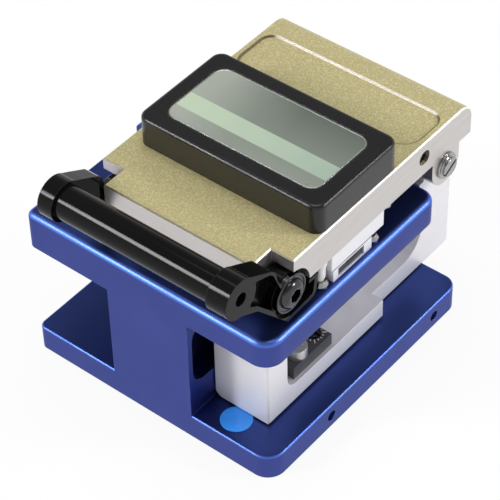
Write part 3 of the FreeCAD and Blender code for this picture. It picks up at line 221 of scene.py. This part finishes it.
def make_handling():
    """Slow change of sheen from fingers and cloths."""
    group, start, end = new_group("Handling", [("Low", "NodeSocketFloat", 0.3),
                                               ("High", "NodeSocketFloat", 0.4)],
                                  [("Roughness", "NodeSocketFloat")])
    place = on_piece(group)
    smudge = add_node(group, "ShaderNodeTexNoise", {
        "Vector": place, "Scale": 90.0, "Detail": 5.0, "Roughness": 0.65}).outputs[0]
    span = maths(group, "SUBTRACT", start.outputs["High"], start.outputs["Low"])
    share = multiplied(group, remap(group, smudge, 0.3, 0.7), span)
    group.links.new(maths(group, "ADD", share, start.outputs["Low"]), end.inputs["Roughness"])
    return group


BLASTED_GRAIN = make_blasted_grain()
CUTTER_MARKS = make_cutter_marks()
EDGE_WEAR_AND_HIGHLIGHT = make_edge_wear_and_highlight()
HANDLING = make_handling()


# ------------------------------------------------------------------ finishes

def group_node(tree, group, **inputs):
    """A shader group placed in a material with its own values."""
    node = add_node(tree, "ShaderNodeGroup", node_tree=group)
    for name, setting in inputs.items():
        node.inputs[name].default_value = setting
    return node


def new_finish(name, colour, metallic=0.0, roughness=0.4, **sockets):
    """A material, its tree and its principled shader."""
    material = bpy.data.materials.new(name)
    material.use_nodes = True
    tree = material.node_tree
    shader = tree.nodes["Principled BSDF"]
    shader.inputs["Base Color"].default_value = (*colour, 1.0)
    shader.inputs["Metallic"].default_value = metallic
    shader.inputs["Roughness"].default_value = roughness
    for socket, setting in sockets.items():
        shader.inputs[socket.replace("_", " ")].default_value = setting
    return material, tree, shader


def dimmed(colour, share):
    """A colour at a share of its strength, with its alpha."""
    return tuple(channel * share for channel in colour) + (1,)


def feed(tree, shader, **sources):
    """Links a source to each socket named, with _ for a space."""
    for socket, source in sources.items():
        tree.links.new(source, shader.inputs[socket.replace("_", " ")])


def add_bump(tree, shader, height, strength, distance, edge_round=EDGE_SOFTNESS):
    """Fine relief on a surface whose sharp edges catch the light as slightly rounded ones do."""
    soft = add_node(tree, "ShaderNodeBevel", {"Radius": edge_round}, samples=6)
    bump = add_node(tree, "ShaderNodeBump", {"Height": height, "Strength": strength,
                                             "Distance": distance, "Normal": soft.outputs[0]})
    feed(tree, shader, Normal=bump.outputs[0])


def anodised_blue():
    """Deep blue anodising: painted shade on flat tops, a painted highlight on upper roundings, softest
    below the plate.
    """
    material, tree, shader = new_finish("Anodised Blue", (0.052, 0.066, 0.28), metallic=0.95,
                                        roughness=0.42, Specular_Tint=(0.75, 0.78, 0.95, 1.0))
    grain = group_node(tree, BLASTED_GRAIN, Size=4500.0).outputs
    edge_wear_and_highlight = group_node(tree, EDGE_WEAR_AND_HIGHLIGHT, Width=0.22 * MM, Amount=0.25)
    handling = group_node(tree, HANDLING, Low=0.37, High=0.46)
    up = split(tree, on_piece(tree, "Normal"))["Z"]
    sides = mixed(tree, grain["Mottle"], (0.048, 0.067, 0.262, 1), (0.060, 0.082, 0.318, 1))
    # Painted shade: the flat tops get a darker copy of the blue than the sides.
    tops = mixed(tree, grain["Mottle"], (0.030, 0.050, 0.190, 1), (0.038, 0.062, 0.235, 1))
    mottle_with_painted_shade = mixed(tree, remap(tree, up, 0.985, 0.995), sides, tops)
    # Painted highlight: a paler blue on the upward roundings.
    rounding = multiplied(tree, remap(tree, up, 0.10, 0.45), remap(tree, up, 0.985, 0.86))
    blue_with_painted_light = mixed(tree, rounding, mottle_with_painted_shade, (0.10, 0.19, 0.66, 1))
    # Edges where the anodising wears through, in a pale blue that is also a painted highlight.
    feed(tree, shader, Base_Color=mixed(tree, edge_wear_and_highlight.outputs["Mask"], blue_with_painted_light, (0.30, 0.38, 0.72, 1)),
         Roughness=handling.outputs["Roughness"])
    place = split(tree, on_piece(tree))
    plate_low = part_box("hinge_bracket")[0].z - 0.4 * MM
    plate_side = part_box("main_frame")[1].x - 0.5 * MM
    rounding_top = plate_low + 3.0 * MM
    under = multiplied(tree, remap(tree, place["Z"], plate_low - 0.1 * MM, plate_low),
                       remap(tree, place["Z"], rounding_top + 0.4 * MM, rounding_top),
                       remap(tree, place["X"], plate_side - 0.1 * MM, plate_side))
    add_bump(tree, shader, grain["Height"], 0.15, 0.02 * MM,
             edge_round=remap(tree, under, 0.0, 1.0, 0.3 * MM, 2.6 * MM))
    return material


def blasted_lid():
    """Warm grained upper faces and bare milled sides, with a painted highlight on the upper side edges
    and the upper front edges darker.
    """
    material, tree, shader = new_finish("Blasted Lid", (0.56, 0.50, 0.26), metallic=0.3, roughness=0.45)
    grain = group_node(tree, BLASTED_GRAIN, Size=4800.0).outputs
    marks = group_node(tree, CUTTER_MARKS, Size=700.0, Stretch=(0.15, 0.15, 4.0)).outputs
    edge_wear_and_highlight = group_node(tree, EDGE_WEAR_AND_HIGHLIGHT, Width=0.3 * MM, Amount=0.7)
    faces = split(tree, on_piece(tree, "Normal"))
    top = remap(tree, faces["Z"], 0.25, 0.45)
    speckle = remap(tree, grain["Height"], 0.55, 1.05)
    warm = mixed(tree, speckle, (0.40, 0.34, 0.155, 1), (0.66, 0.60, 0.33, 1))
    bare = mixed(tree, marks["Sheen"], (0.56, 0.53, 0.515, 1), (0.64, 0.61, 0.595, 1))
    # Painted highlight on the upward roundings that face the side.
    painted_side_highlight = multiplied(tree, remap(tree, faces["X"], 0.35, 0.5), top)
    # Upward roundings that face the front are made darker.
    darkened_edges = multiplied(tree, remap(tree, faces["Y"], -0.35, -0.5), top, 0.75)
    ground = mixed(tree, top, bare, warm)
    ground = mixed(tree, darkened_edges, ground, (0.10, 0.08, 0.06, 1))
    ground = mixed(tree, painted_side_highlight, ground, (0.88, 0.87, 0.85, 1))
    # Pale edges away from the front: partly where the finish wears through, partly a painted highlight
    # along the top edges.
    wear_and_highlight = multiplied(tree, edge_wear_and_highlight.outputs["Mask"], remap(tree, faces["Y"], -0.5, -0.35))
    feed(tree, shader, Base_Color=mixed(tree, wear_and_highlight, ground, (0.86, 0.85, 0.81, 1)),
         Roughness=remap(tree, top, 0.0, 1.0, 0.32, 0.46),
         Metallic=remap(tree, top, 0.0, 1.0, 0.85, 0.25))
    add_bump(tree, shader, grain["Height"], 0.35, 0.03 * MM)
    return material


def milled_silver():
    """Clear anodised aluminium with cutter marks, its long sides ground a little brighter."""
    silver = (0.75, 0.74, 0.78)
    material, tree, shader = new_finish("Milled Silver", silver, metallic=0.25, roughness=0.38)
    marks = group_node(tree, CUTTER_MARKS, Size=800.0, Stretch=(0.3, 0.05, 3.0)).outputs
    edge_wear_and_highlight = group_node(tree, EDGE_WEAR_AND_HIGHLIGHT, Width=0.2 * MM, Amount=0.7)
    milled = mixed(tree, marks["Sheen"], dimmed(silver, 0.92), (*silver, 1))
    sideways = maths(tree, "ABSOLUTE", split(tree, on_piece(tree, "Normal"))["X"])
    ground_side = multiplied(tree, remap(tree, sideways, 0.80, 0.95), 0.4)
    milled = mixed(tree, ground_side, milled, (0.90, 0.90, 0.92, 1))
    feed(tree, shader, Base_Color=mixed(tree, edge_wear_and_highlight.outputs["Mask"], milled, (0.85, 0.85, 0.88, 1)),
         Roughness=remap(tree, marks["Sheen"], 0.0, 1.0, 0.34, 0.44))
    add_bump(tree, shader, marks["Height"], 0.1, 0.02 * MM)
    return material


def turned_steel(name, colour, roughness):
    """Bare or blackened steel with fine tool marks and uneven sheen."""
    material, tree, shader = new_finish(name, colour, metallic=1.0, roughness=roughness)
    marks = group_node(tree, CUTTER_MARKS, Size=1800.0).outputs
    handling = group_node(tree, HANDLING, Low=roughness * 0.8, High=roughness * 1.3)
    feed(tree, shader, Base_Color=mixed(tree, marks["Sheen"], dimmed(colour, 0.75), (*colour, 1)),
         Roughness=handling.outputs["Roughness"])
    add_bump(tree, shader, marks["Height"], 0.08, 0.01 * MM)
    return material


def ground_blade():
    """Cutting wheel: turned face, brighter ground bevel round the rim and plain index ticks."""
    tick_count, tick_inner, tick_outer, bevel_width = 16, 5.5 * MM, 6.3 * MM, 0.9 * MM
    blend = 0.1 * MM
    material, tree, shader = new_finish("Ground Blade", (0.42, 0.43, 0.45), metallic=1.0, roughness=0.2)
    low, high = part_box("blade_wheel")
    middle, radius = (low + high) / 2, (high.y - low.y) / 2
    offset = add_node(tree, "ShaderNodeVectorMath", {0: on_piece(tree), 1: middle},
                      operation="SUBTRACT").outputs[0]
    spread = add_node(tree, "ShaderNodeVectorMath", {0: offset, 1: (0.0, 1.0, 1.0)},
                      operation="MULTIPLY").outputs[0]
    reach = add_node(tree, "ShaderNodeVectorMath", {0: spread}, operation="LENGTH").outputs["Value"]
    bevel = remap(tree, reach, radius - bevel_width - blend, radius - bevel_width)
    parts = split(tree, spread)
    turn = maths(tree, "ARCTAN2", parts["Y"], parts["Z"])
    share = maths(tree, "FRACT", multiplied(tree, turn, tick_count / (2 * math.pi)))
    tick = multiplied(tree, remap(tree, share, 0.09, 0.07),
                      remap(tree, reach, tick_inner - blend, tick_inner),
                      remap(tree, reach, tick_outer + blend, tick_outer))
    marks = group_node(tree, CUTTER_MARKS, Size=1800.0).outputs
    face = mixed(tree, marks["Sheen"], (0.30, 0.31, 0.33, 1), (0.44, 0.45, 0.47, 1))
    face = mixed(tree, bevel, face, (0.70, 0.71, 0.73, 1))
    feed(tree, shader, Base_Color=mixed(tree, tick, face, (0.05, 0.05, 0.05, 1)),
         Roughness=remap(tree, bevel, 0.0, 1.0, 0.28, 0.12))
    add_bump(tree, shader, marks["Height"], 0.06, 0.01 * MM)
    return material


def capped_steel():
    """Guide carriage: steel in the middle with black moulded end caps."""
    cap_length, blend = 1.4 * MM, 0.05 * MM
    material, tree, shader = new_finish("Capped Steel", (0.5, 0.5, 0.5), metallic=0.9, roughness=0.3)
    low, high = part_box("bearing_carriage")
    depth = split(tree, on_piece(tree))["Y"]
    cap = maths(tree, "MAXIMUM",
                remap(tree, depth, low.y + cap_length + blend, low.y + cap_length),
                remap(tree, depth, high.y - cap_length - blend, high.y - cap_length))
    marks = group_node(tree, CUTTER_MARKS, Size=1500.0, Stretch=(1.0, 0.1, 1.0)).outputs
    steel = mixed(tree, marks["Sheen"], (0.42, 0.42, 0.43, 1), (0.56, 0.56, 0.57, 1))
    feed(tree, shader, Base_Color=mixed(tree, cap, steel, (0.02, 0.025, 0.022, 1)),
         Metallic=remap(tree, cap, 0.0, 1.0, 0.9, 0.0),
         Roughness=remap(tree, cap, 0.0, 1.0, 0.28, 0.5))
    add_bump(tree, shader, marks["Height"], 0.08, 0.01 * MM)
    return material


def black_finish(name, colour, low, high, grain_size, bump, gloss=0.5, metallic=0.0,
                 wear_and_highlight=0.3, edge_round=EDGE_SOFTNESS):
    """Black paint or moulded plastic with its own grain, smudges and scuffed edges."""
    material, tree, shader = new_finish(name, colour, metallic=metallic, roughness=low)
    shader.inputs["Specular IOR Level"].default_value = gloss
    grain = group_node(tree, BLASTED_GRAIN, Size=grain_size).outputs
    edge_wear_and_highlight = group_node(tree, EDGE_WEAR_AND_HIGHLIGHT, Width=0.2 * MM, Amount=wear_and_highlight)
    handling = group_node(tree, HANDLING, Low=low, High=high)
    greyed = tuple(channel * 1.6 + 0.002 for channel in colour) + (1,)
    base = mixed(tree, grain["Mottle"], (*colour, 1), greyed)
    feed(tree, shader, Base_Color=mixed(tree, edge_wear_and_highlight.outputs["Mask"], base, (0.12, 0.12, 0.12, 1)),
         Roughness=handling.outputs["Roughness"])
    add_bump(tree, shader, grain["Height"], bump, 0.02 * MM, edge_round=edge_round)
    return material


def plain_moulded(name, colour, roughness, bump=0.05):
    """Rubber, plastic, ceramic or a sticker: one colour with a slow mottle and fine grain."""
    material, tree, shader = new_finish(name, colour, roughness=roughness)
    grain = group_node(tree, BLASTED_GRAIN, Size=2500.0).outputs
    handling = group_node(tree, HANDLING, Low=roughness * 0.85, High=min(1.0, roughness * 1.15))
    feed(tree, shader, Base_Color=mixed(tree, grain["Mottle"], dimmed(colour, 0.9), (*colour, 1)),
         Roughness=handling.outputs["Roughness"])
    add_bump(tree, shader, grain["Height"], bump, 0.02 * MM)
    return material


def panel_edge():
    """The recessed panel's lip and foot: a painted highlight along the hinge side, painted shade along
    the others.
    """
    material, tree, shader = new_finish("Panel Edge", (0.5, 0.45, 0.35), metallic=0.3, roughness=0.4)
    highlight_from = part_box("lid_plate")[1].y - 8.2 * MM
    depth = split(tree, on_piece(tree))["Y"]
    grain = group_node(tree, BLASTED_GRAIN, Size=2500.0).outputs
    # Painted shade: a dark brown on the lip and foot along the front and the sides.
    darkened_edges = mixed(tree, grain["Mottle"], (0.16, 0.13, 0.06, 1), (0.24, 0.20, 0.10, 1))
    # Painted highlight along the hinge side.
    painted_highlight = mixed(tree, grain["Mottle"], (0.80, 0.74, 0.66, 1), (0.95, 0.90, 0.84, 1))
    handling = group_node(tree, HANDLING, Low=0.32, High=0.45)
    along_hinge = remap(tree, depth, highlight_from, highlight_from + 0.4 * MM)
    feed(tree, shader, Base_Color=mixed(tree, along_hinge, darkened_edges, painted_highlight),
         Roughness=handling.outputs["Roughness"])
    add_bump(tree, shader, grain["Height"], 0.1, 0.01 * MM)
    return material


def label_plate():
    """Grey-green metallic plate with a painted reflection that lightens it towards one end and painted
    shade towards its far side and other end, with one plain pale band along it.
    """
    band_near, band_far, blend = 0.21, 0.45, 0.01
    material, tree, shader = new_finish("Label Plate", (0.3, 0.34, 0.3), metallic=0.35, roughness=0.3)
    low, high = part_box("cover_label")
    place = split(tree, on_piece(tree))
    across = remap(tree, place["X"], low.x, high.x)
    deep = remap(tree, place["Y"], low.y, high.y)
    # Painted reflection: lighter towards the low end of the plate.
    painted_reflection = mixed(tree, remap(tree, across, 0.0, 0.4), (0.45, 0.48, 0.42, 1), (0.31, 0.35, 0.30, 1))
    # Painted shade towards the far side and the high end.
    shaded = multiplied(tree, deep, remap(tree, across, 0.1, 0.6))
    ground = mixed(tree, shaded, painted_reflection, (0.14, 0.165, 0.14, 1))
    band = multiplied(tree, remap(tree, deep, band_near - blend, band_near),
                      remap(tree, deep, band_far + blend, band_far))
    # The pale band carries the same painted reflection, lighter towards the low end.
    stripe = mixed(tree, across, (0.60, 0.72, 0.54, 1), (0.42, 0.53, 0.43, 1))
    grain = group_node(tree, BLASTED_GRAIN, Size=3000.0)
    handling = group_node(tree, HANDLING, Low=0.26, High=0.36)
    feed(tree, shader, Base_Color=mixed(tree, band, ground, stripe),
         Roughness=handling.outputs["Roughness"])
    add_bump(tree, shader, grain.outputs["Height"], 0.05, 0.02 * MM)
    return material


BLUE = anodised_blue()
LID = blasted_lid()
SILVER = milled_silver()
STEEL = turned_steel("Turned Steel", (0.55, 0.55, 0.56), 0.25)
BLADE_STEEL = ground_blade()
CAPPED_STEEL = capped_steel()
BRIGHT_STEEL = turned_steel("Bright Steel", (0.42, 0.42, 0.42), 0.14)
SATIN_STEEL = turned_steel("Satin Steel", (0.78, 0.77, 0.76), 0.38)
DARK_STEEL = turned_steel("Blackened Steel", (0.045, 0.045, 0.05), 0.26)
SPRING_STEEL = turned_steel("Spring Steel", (0.45, 0.45, 0.44), 0.3)
COVER_BLACK = black_finish("Cover Black", (0.005, 0.005, 0.005), 0.22, 0.30, 3500.0, 0.05,
                           gloss=0.40, wear_and_highlight=0.05, edge_round=0.55 * MM)
GLOSS_BLACK = black_finish("Gloss Black", (0.003, 0.003, 0.003), 0.10, 0.15, 2000.0, 0.02,
                           gloss=0.12)
DARK_GREY = black_finish("Dark Grey", (0.05, 0.05, 0.055), 0.4, 0.5, 3000.0, 0.1, metallic=0.4)
RUBBER = plain_moulded("Rubber", (0.025, 0.025, 0.025), 0.75, bump=0.2)
WHITE = plain_moulded("White Plastic", (0.78, 0.78, 0.76), 0.4)
PIVOT_STEEL = turned_steel("Pivot Steel", (0.075, 0.075, 0.08), 0.20)
SEAM = panel_edge()
LABEL_EDGE = turned_steel("Label Edge", (0.62, 0.66, 0.62), 0.3)
STICKER = plain_moulded("Blue Sticker", (0.03, 0.30, 0.98), 0.35)
CERAMIC = plain_moulded("Ceramic", (0.80, 0.79, 0.75), 0.2)
LABEL = label_plate()

FINISHES = {
    "blue_anodised": BLUE, "lid_aluminium": LID, "silver_aluminium": SILVER,
    "black_cover": COVER_BLACK, "black_metal": GLOSS_BLACK, "dark_grey": DARK_GREY,
    "steel": STEEL, "blade": BLADE_STEEL, "spring_steel": SPRING_STEEL, "rubber": RUBBER,
    "white_plastic": WHITE, "label": LABEL, "blue_sticker": STICKER, "ceramic": CERAMIC,
}
OWN_FINISHES = {
    "bearing_carriage": CAPPED_STEEL, "height_dial": DARK_STEEL, "anvil_pivot_pin": DARK_STEEL,
    "stop_screws": BRIGHT_STEEL, "adjuster_cap_screw": SATIN_STEEL,
}


def finish_solids():
    """Gives each solid the finish of its material slot, or its own."""
    slots = {part["node"]: part["material_slot"] for part in frame["record"]["subparts"]}
    for name, solid in nodes.items():
        solid.data.materials.clear()
        solid.data.materials.append(OWN_FINISHES.get(name, FINISHES[slots[name]]))


finish_solids()


# ------------------------------------------------------------------ detail pieces

def new_piece(name, shape, material, like, slot, replaced=None, smooth=True):
    """Makes an object of a bmesh that rides as a CAD node does, and may stand for one."""
    bmesh.ops.recalc_face_normals(shape, faces=shape.faces)
    for face in shape.faces:
        face.smooth = smooth
    mesh = bpy.data.meshes.new(name)
    shape.to_mesh(mesh)
    shape.free()
    mesh.materials.append(material)
    piece = bpy.data.objects.new(name, mesh)
    bpy.context.scene.collection.objects.link(piece)
    if smooth:
        with bpy.context.temp_override(object=piece, active_object=piece,
                                       selected_editable_objects=[piece]):
            bpy.ops.object.shade_smooth_by_angle(angle=SMOOTH_ANGLE)
    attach(piece, body_of(nodes[like])[0])
    if replaced:
        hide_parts(replaced)
    return piece


def ring(shape, centre, along, radius, flats=0, axis="x"):
    """A closed loop round an axis, in mm: a circle, or a polygon measured across its flats."""
    points = []
    for step in range(ROUND_STEPS):
        turn = 2 * math.pi * step / ROUND_STEPS
        reach = radius
        if flats:
            half = math.pi / flats
            reach = radius / math.cos((turn + half) % (2 * half) - half)
        out, up = centre[0] + reach * math.cos(turn), centre[1] + reach * math.sin(turn)
        place = (along, out, up) if axis == "x" else (out, up, along)
        points.append(shape.verts.new(Vector(place) * MM))
    return points


def skin(shape, loops, closed_ends=True):
    """Faces between one loop and the next, with the first and last filled."""
    for low, high in zip(loops, loops[1:]):
        for step, start in enumerate(low):
            after = (step + 1) % len(low)
            shape.faces.new((start, low[after], high[after], high[step]))
    if closed_ends:
        shape.faces.new(loops[0])
        shape.faces.new(loops[-1])


def turned(shape, centre, profile, start, side=1, axis="x"):
    """A body of loops at (distance, radius) or (distance, radius, flats), outwards from a plane."""
    skin(shape, [ring(shape, centre, start + side * distance, *loop, axis=axis)
                 for distance, *loop in profile])


def bar(shape, low, high, soft=0.0):
    """A box between two corners in mm, with its edges softened."""
    made = bmesh.ops.create_cube(shape, size=1.0)["verts"]
    low, high = Vector(low), Vector(high)
    bmesh.ops.scale(shape, verts=made, vec=(high - low) * MM)
    bmesh.ops.translate(shape, verts=made, vec=(low + high) / 2 * MM)
    if soft:
        edges = list(dict.fromkeys(edge for point in made for edge in point.link_edges))
        bmesh.ops.bevel(shape, geom=edges, offset=soft * MM, segments=2, profile=0.5,
                        affect="EDGES", material=-1)
    return made


def rounded_loop(shape, low, high, rounds, level, inset):
    """A rounded rectangle at one level, in mm, its corners from low left round against the clock."""
    centres = ((low[0], low[1]), (high[0], low[1]), (high[0], high[1]), (low[0], high[1]))
    points = []
    for number, ((across, depth), radius) in enumerate(zip(centres, rounds)):
        across += radius if number in (0, 3) else -radius
        depth += radius if number in (0, 1) else -radius
        reach = radius - inset
        for step in range(CORNER_STEPS + 1):
            turn = math.pi * (1 + number / 2) + math.pi / 2 * step / CORNER_STEPS
            points.append(shape.verts.new(Vector((across + reach * math.cos(turn),
                                                  depth + reach * math.sin(turn), level)) * MM))
    return points


def trim(name, low, high, rounds, section, *how):
    """A thin strip round a rounded rectangle, its section given as (inset, height) in mm."""
    shape = bmesh.new()
    skin(shape, [rounded_loop(shape, low, high, rounds, level, inset) for inset, level in section],
         closed_ends=False)
    new_piece(name, shape, *how)


def corners(name):
    """A node's lowest and highest corners in mm."""
    low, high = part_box(name)
    return low / MM, high / MM


def both_ends(name):
    """Each end face of a node that lies across the tool: its side, place and centre, in mm."""
    low, high = corners(name)
    for side, face in ((1, high.x), (-1, low.x)):
        yield side, face, ((low.y + high.y) / 2, (low.z + high.z) / 2)


def pivot_heads():
    """Flanged button-head screws with a hexagonal socket, one at each end of the handle's axis."""
    shoulder = [(-12.5, 1.5), (-8.3, 1.5), (-8.3, 2.15), (-2.22, 2.15)]
    flange = [(-2.22, 4.4), (-1.25, 4.4), (-1.12, 4.3), (-1.1, 3.95), (-1.35, 3.8), (-1.35, 3.25)]
    dome = [(-1.0, 3.2), (-0.62, 3.0), (-0.3, 2.6), (-0.1, 2.15), (-0.02, 1.75)]
    socket = [(-0.12, 1.35, 6), (-1.5, 1.3, 6), (-1.7, 0.4, 6)]
    shape = bmesh.new()
    for side, face, centre in both_ends("handle_pivot_screws"):
        turned(shape, centre, shoulder + flange + dome + socket, start=face, side=side)
    new_piece("pivot_heads", shape, PIVOT_STEEL, "handle_pivot_screws", "black_metal",
              "handle_pivot_screws")


def hinge_heads():
    """Stepped cheese-head screws with a cut slot on both ends of the hinge."""
    shank = [(-9.3, 1.2), (-4.3, 1.2), (-4.3, 1.7), (-1.3, 1.7)]
    head = [(-1.3, 2.95), (-0.95, 3.0), (-0.8, 2.9), (-0.78, 2.35), (-0.62, 2.2)]
    slot_turn = math.radians(28)
    shape = bmesh.new()
    for side, face, centre in both_ends("hinge_screws"):
        turned(shape, centre, shank + head, start=face, side=side)
        for half in (0, math.pi):
            slotted_half(shape, centre, face, side, half + slot_turn)
    new_piece("hinge_heads", shape, BRIGHT_STEEL, "hinge_screws", "steel", "hinge_screws")


def slotted_half(shape, centre, face, side, turn):
    """One of the two raised halves beside a screw's slot, its upper edges chamfered."""
    radius, half_gap, depth, chamfer, chamfer_height = 2.2, 0.34, 0.62, 0.14, 0.12
    opening = math.asin(half_gap / radius)
    loops = []
    for along, reach in ((-depth, radius), (-chamfer_height, radius), (0.0, radius - chamfer)):
        points = []
        for step in range(ARC_STEPS + 1):
            angle = opening + (math.pi - 2 * opening) * step / ARC_STEPS
            out = reach * math.cos(angle)
            up = max(reach * math.sin(angle), half_gap + radius - reach)
            points.append(shape.verts.new(Vector((
                face + side * along,
                centre[0] + out * math.cos(turn) - up * math.sin(turn),
                centre[1] + out * math.sin(turn) + up * math.cos(turn))) * MM))
        loops.append(points)
    skin(shape, loops)


def lifting_spring():
    """Coil over the anvil lever's tail, with a mesh of its own."""
    shape = bmesh.new()
    shape.from_mesh(nodes["anvil_spring"].data)
    bmesh.ops.remove_doubles(shape, verts=shape.verts, dist=0.001 * MM)
    spring = new_piece("lifting_spring", shape, SPRING_STEEL, "anvil_spring", "spring_steel",
                       "anvil_spring")
    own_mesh(spring)


def soft_bumper():
    """White post under the lid with a turned tip that meets the front stop screw."""
    low, high = corners("lid_bumper")
    centre = ((low.x + high.x) / 2, (low.y + high.y) / 2)
    profile = [(0.0, 0.55), (0.12, 0.75), (0.75, 1.0), (1.3, 1.12), (3.9, 1.15), (4.3, 1.45),
               (5.5, 1.45)]
    shape = bmesh.new()
    turned(shape, centre, profile, start=low.z, axis="z")
    new_piece("soft_bumper", shape, WHITE, "lid_bumper", "white_plastic", "lid_bumper")


def dial_ticks():
    """Plain painted ticks round the height dial: four longer, and three cut short by an edge."""
    count, inner, half_width, thick = 16, 1.85, 0.11, 0.03
    plain_end, long_end, short_end, short_ticks = 2.3, 2.9, 2.1, (3, 4, 5)
    low, high = corners("height_dial")
    middle = Vector(((low.x + high.x) / 2, (low.y + high.y) / 2, 0)) * MM
    level = corners("adjuster_block")[1].z
    shape = bmesh.new()
    for number in range(count):
        end = short_end if number in short_ticks else long_end if number % 4 == 2 else plain_end
        tick = bar(shape, (inner, -half_width, level), (end, half_width, level + thick))
        bmesh.ops.rotate(shape, verts=tick, cent=(0, 0, 0),
                         matrix=Matrix.Rotation(2 * math.pi * number / count, 3, "Z"))
        bmesh.ops.translate(shape, verts=tick, vec=middle)
    new_piece("dial_ticks", shape, WHITE, "adjuster_block", "white_plastic", smooth=False)


def slot_liner():
    """Dark strip on the floor of the recess in the outer face of the right clamp block."""
    low, high = corners("right_clamp_block")
    shape = bmesh.new()
    bar(shape, (high.x - 1.6, low.y + 1.65, low.z + 0.45),
        (high.x - 0.3, high.y - 2.55, low.z + 2.55), soft=0.1)
    new_piece("slot_liner", shape, DARK_GREY, "right_clamp_block", "dark_grey")


def panel_seam():
    """Thin line of painted shade over the lip and along the foot of the recessed panel's wall, with a
    painted highlight along the hinge side.
    """
    side_margin, rear_margin, panel_length, panel_depth = 1.4, 7.6, 12.6, 0.4
    small_round, wide_round = 3.2, 4.6
    low, high = corners("lid_plate")
    rear, floor = high.y - rear_margin, high.z - panel_depth
    section = ((-0.17, 0.401), (-0.14, 0.412), (0.02, 0.41), (0.03, 0.05), (0.22, 0.04), (0.30, 0.005))
    trim("panel_seam", (low.x + side_margin, rear - panel_length), (high.x - side_margin, rear),
         (small_round, wide_round, small_round, small_round),
         [(inset, floor + rise) for inset, rise in section], SEAM, "lid_plate", "lid_aluminium")


def label_rim():
    """Bright cut edge round the label plate."""
    low, high = corners("cover_label")
    section = ((0.0, -0.1), (0.06, 0.03), (0.22, 0.04), (0.30, 0.0))
    trim("label_rim", low, high, (2.75,) * 4, [(inset, high.z + rise) for inset, rise in section],
         LABEL_EDGE, "cover_label", "label")


pivot_heads()
hinge_heads()
lifting_spring()
soft_bumper()
dial_ticks()
slot_liner()
panel_seam()
label_rim()


# ------------------------------------------------------------------ studio and camera

def add_floor():
    """Pale floor just under the part, which shows as white and keeps the part's shadow."""
    whiteness, half_width, gap = 0.90, 1.5, 0.05 * MM
    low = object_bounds()[0]
    mesh = bpy.data.meshes.new("floor")
    shape = bmesh.new()
    bmesh.ops.create_grid(shape, x_segments=1, y_segments=1, size=half_width)
    bmesh.ops.translate(shape, verts=shape.verts, vec=(0, 0, low.z - gap))
    shape.to_mesh(mesh)
    shape.free()
    floor = bpy.data.objects.new("floor", mesh)
    bpy.context.scene.collection.objects.link(floor)
    material, tree, shader = new_finish("Pale Floor", (0.92, 0.92, 0.92), roughness=0.9)
    rays = add_node(tree, "ShaderNodeLightPath").outputs
    seen = maths(tree, "MAXIMUM", rays["Is Camera Ray"],
                 maths(tree, "MAXIMUM", rays["Is Glossy Ray"], rays["Is Transmission Ray"]))
    white = add_node(tree, "ShaderNodeEmission", {"Color": (1, 1, 1, 1), "Strength": 1.0})
    blend = add_node(tree, "ShaderNodeMixShader", {0: multiplied(tree, seen, whiteness),
                                                   1: shader.outputs[0], 2: white.outputs[0]})
    tree.links.new(blend.outputs[0], tree.nodes["Material Output"].inputs["Surface"])
    mesh.materials.append(material)


def add_lamp(name, place, target, size, power):
    """A soft white panel lamp aimed at a point."""
    lamp = bpy.data.lights.new(name, "AREA")
    lamp.shape = "RECTANGLE"
    lamp.size, lamp.size_y = size
    lamp.energy = power
    item = bpy.data.objects.new(name, lamp)
    item.location = place
    item.rotation_euler = (Vector(target) - Vector(place)).to_track_quat("-Z", "Y").to_euler()
    bpy.context.scene.collection.objects.link(item)


def add_world():
    """White round the horizon, dimmer overhead, so that upper faces mirror a darker ceiling."""
    ceiling = 0.30
    world = bpy.data.worlds.new("Studio")
    world.use_nodes = True
    bpy.context.scene.world = world
    tree = world.node_tree
    background = tree.nodes["Background"]
    height = split(tree, on_piece(tree, "Generated"))["Z"]
    tree.links.new(remap(tree, height, 0.1, 0.6, 1.0, ceiling), background.inputs["Strength"])
    background.inputs["Color"].default_value = (1, 1, 1, 1)


def add_camera():
    """Long lens from the front right, well above the part."""
    azimuth, elevation, roll = (math.radians(angle) for angle in (39.926, 44.152, -1.557))
    aim, distance = Vector((2.29, -2.32, 24.97)), 455.7
    back = Vector((math.sin(azimuth) * math.cos(elevation),
                   -math.cos(azimuth) * math.cos(elevation), math.sin(elevation)))
    right = Vector((math.cos(azimuth), math.sin(azimuth), 0))
    up = back.cross(right)
    tilted_right = right * math.cos(roll) + up * math.sin(roll)
    tilted_up = up * math.cos(roll) - right * math.sin(roll)
    turn = Matrix((tilted_right, tilted_up, back)).transposed()
    camera_data = bpy.data.cameras.new("Camera")
    camera_data.lens = 158.94
    camera_data.sensor_width = 36.0
    camera_data.clip_start = 0.01
    camera_data.clip_end = 10.0
    camera = bpy.data.objects.new("Camera", camera_data)
    camera.matrix_world = Matrix.Translation(aim * MM + back * distance * MM) @ turn.to_4x4()
    bpy.context.scene.collection.objects.link(camera)
    bpy.context.scene.camera = camera


add_floor()
add_world()
add_lamp("key", (-0.40, -0.60, 0.48), (0, 0, 0.03), (0.15, 0.22), 3.6)
add_lamp("side", (0.60, 0.40, 0.42), (0, 0, 0.03), (0.15, 0.20), 2.6)
add_lamp("top", (-0.05, 0.05, 0.7), (0, 0, 0.04), (0.4, 0.4), 1.6)
add_camera()
bpy.context.scene.view_settings.view_transform = "Standard"
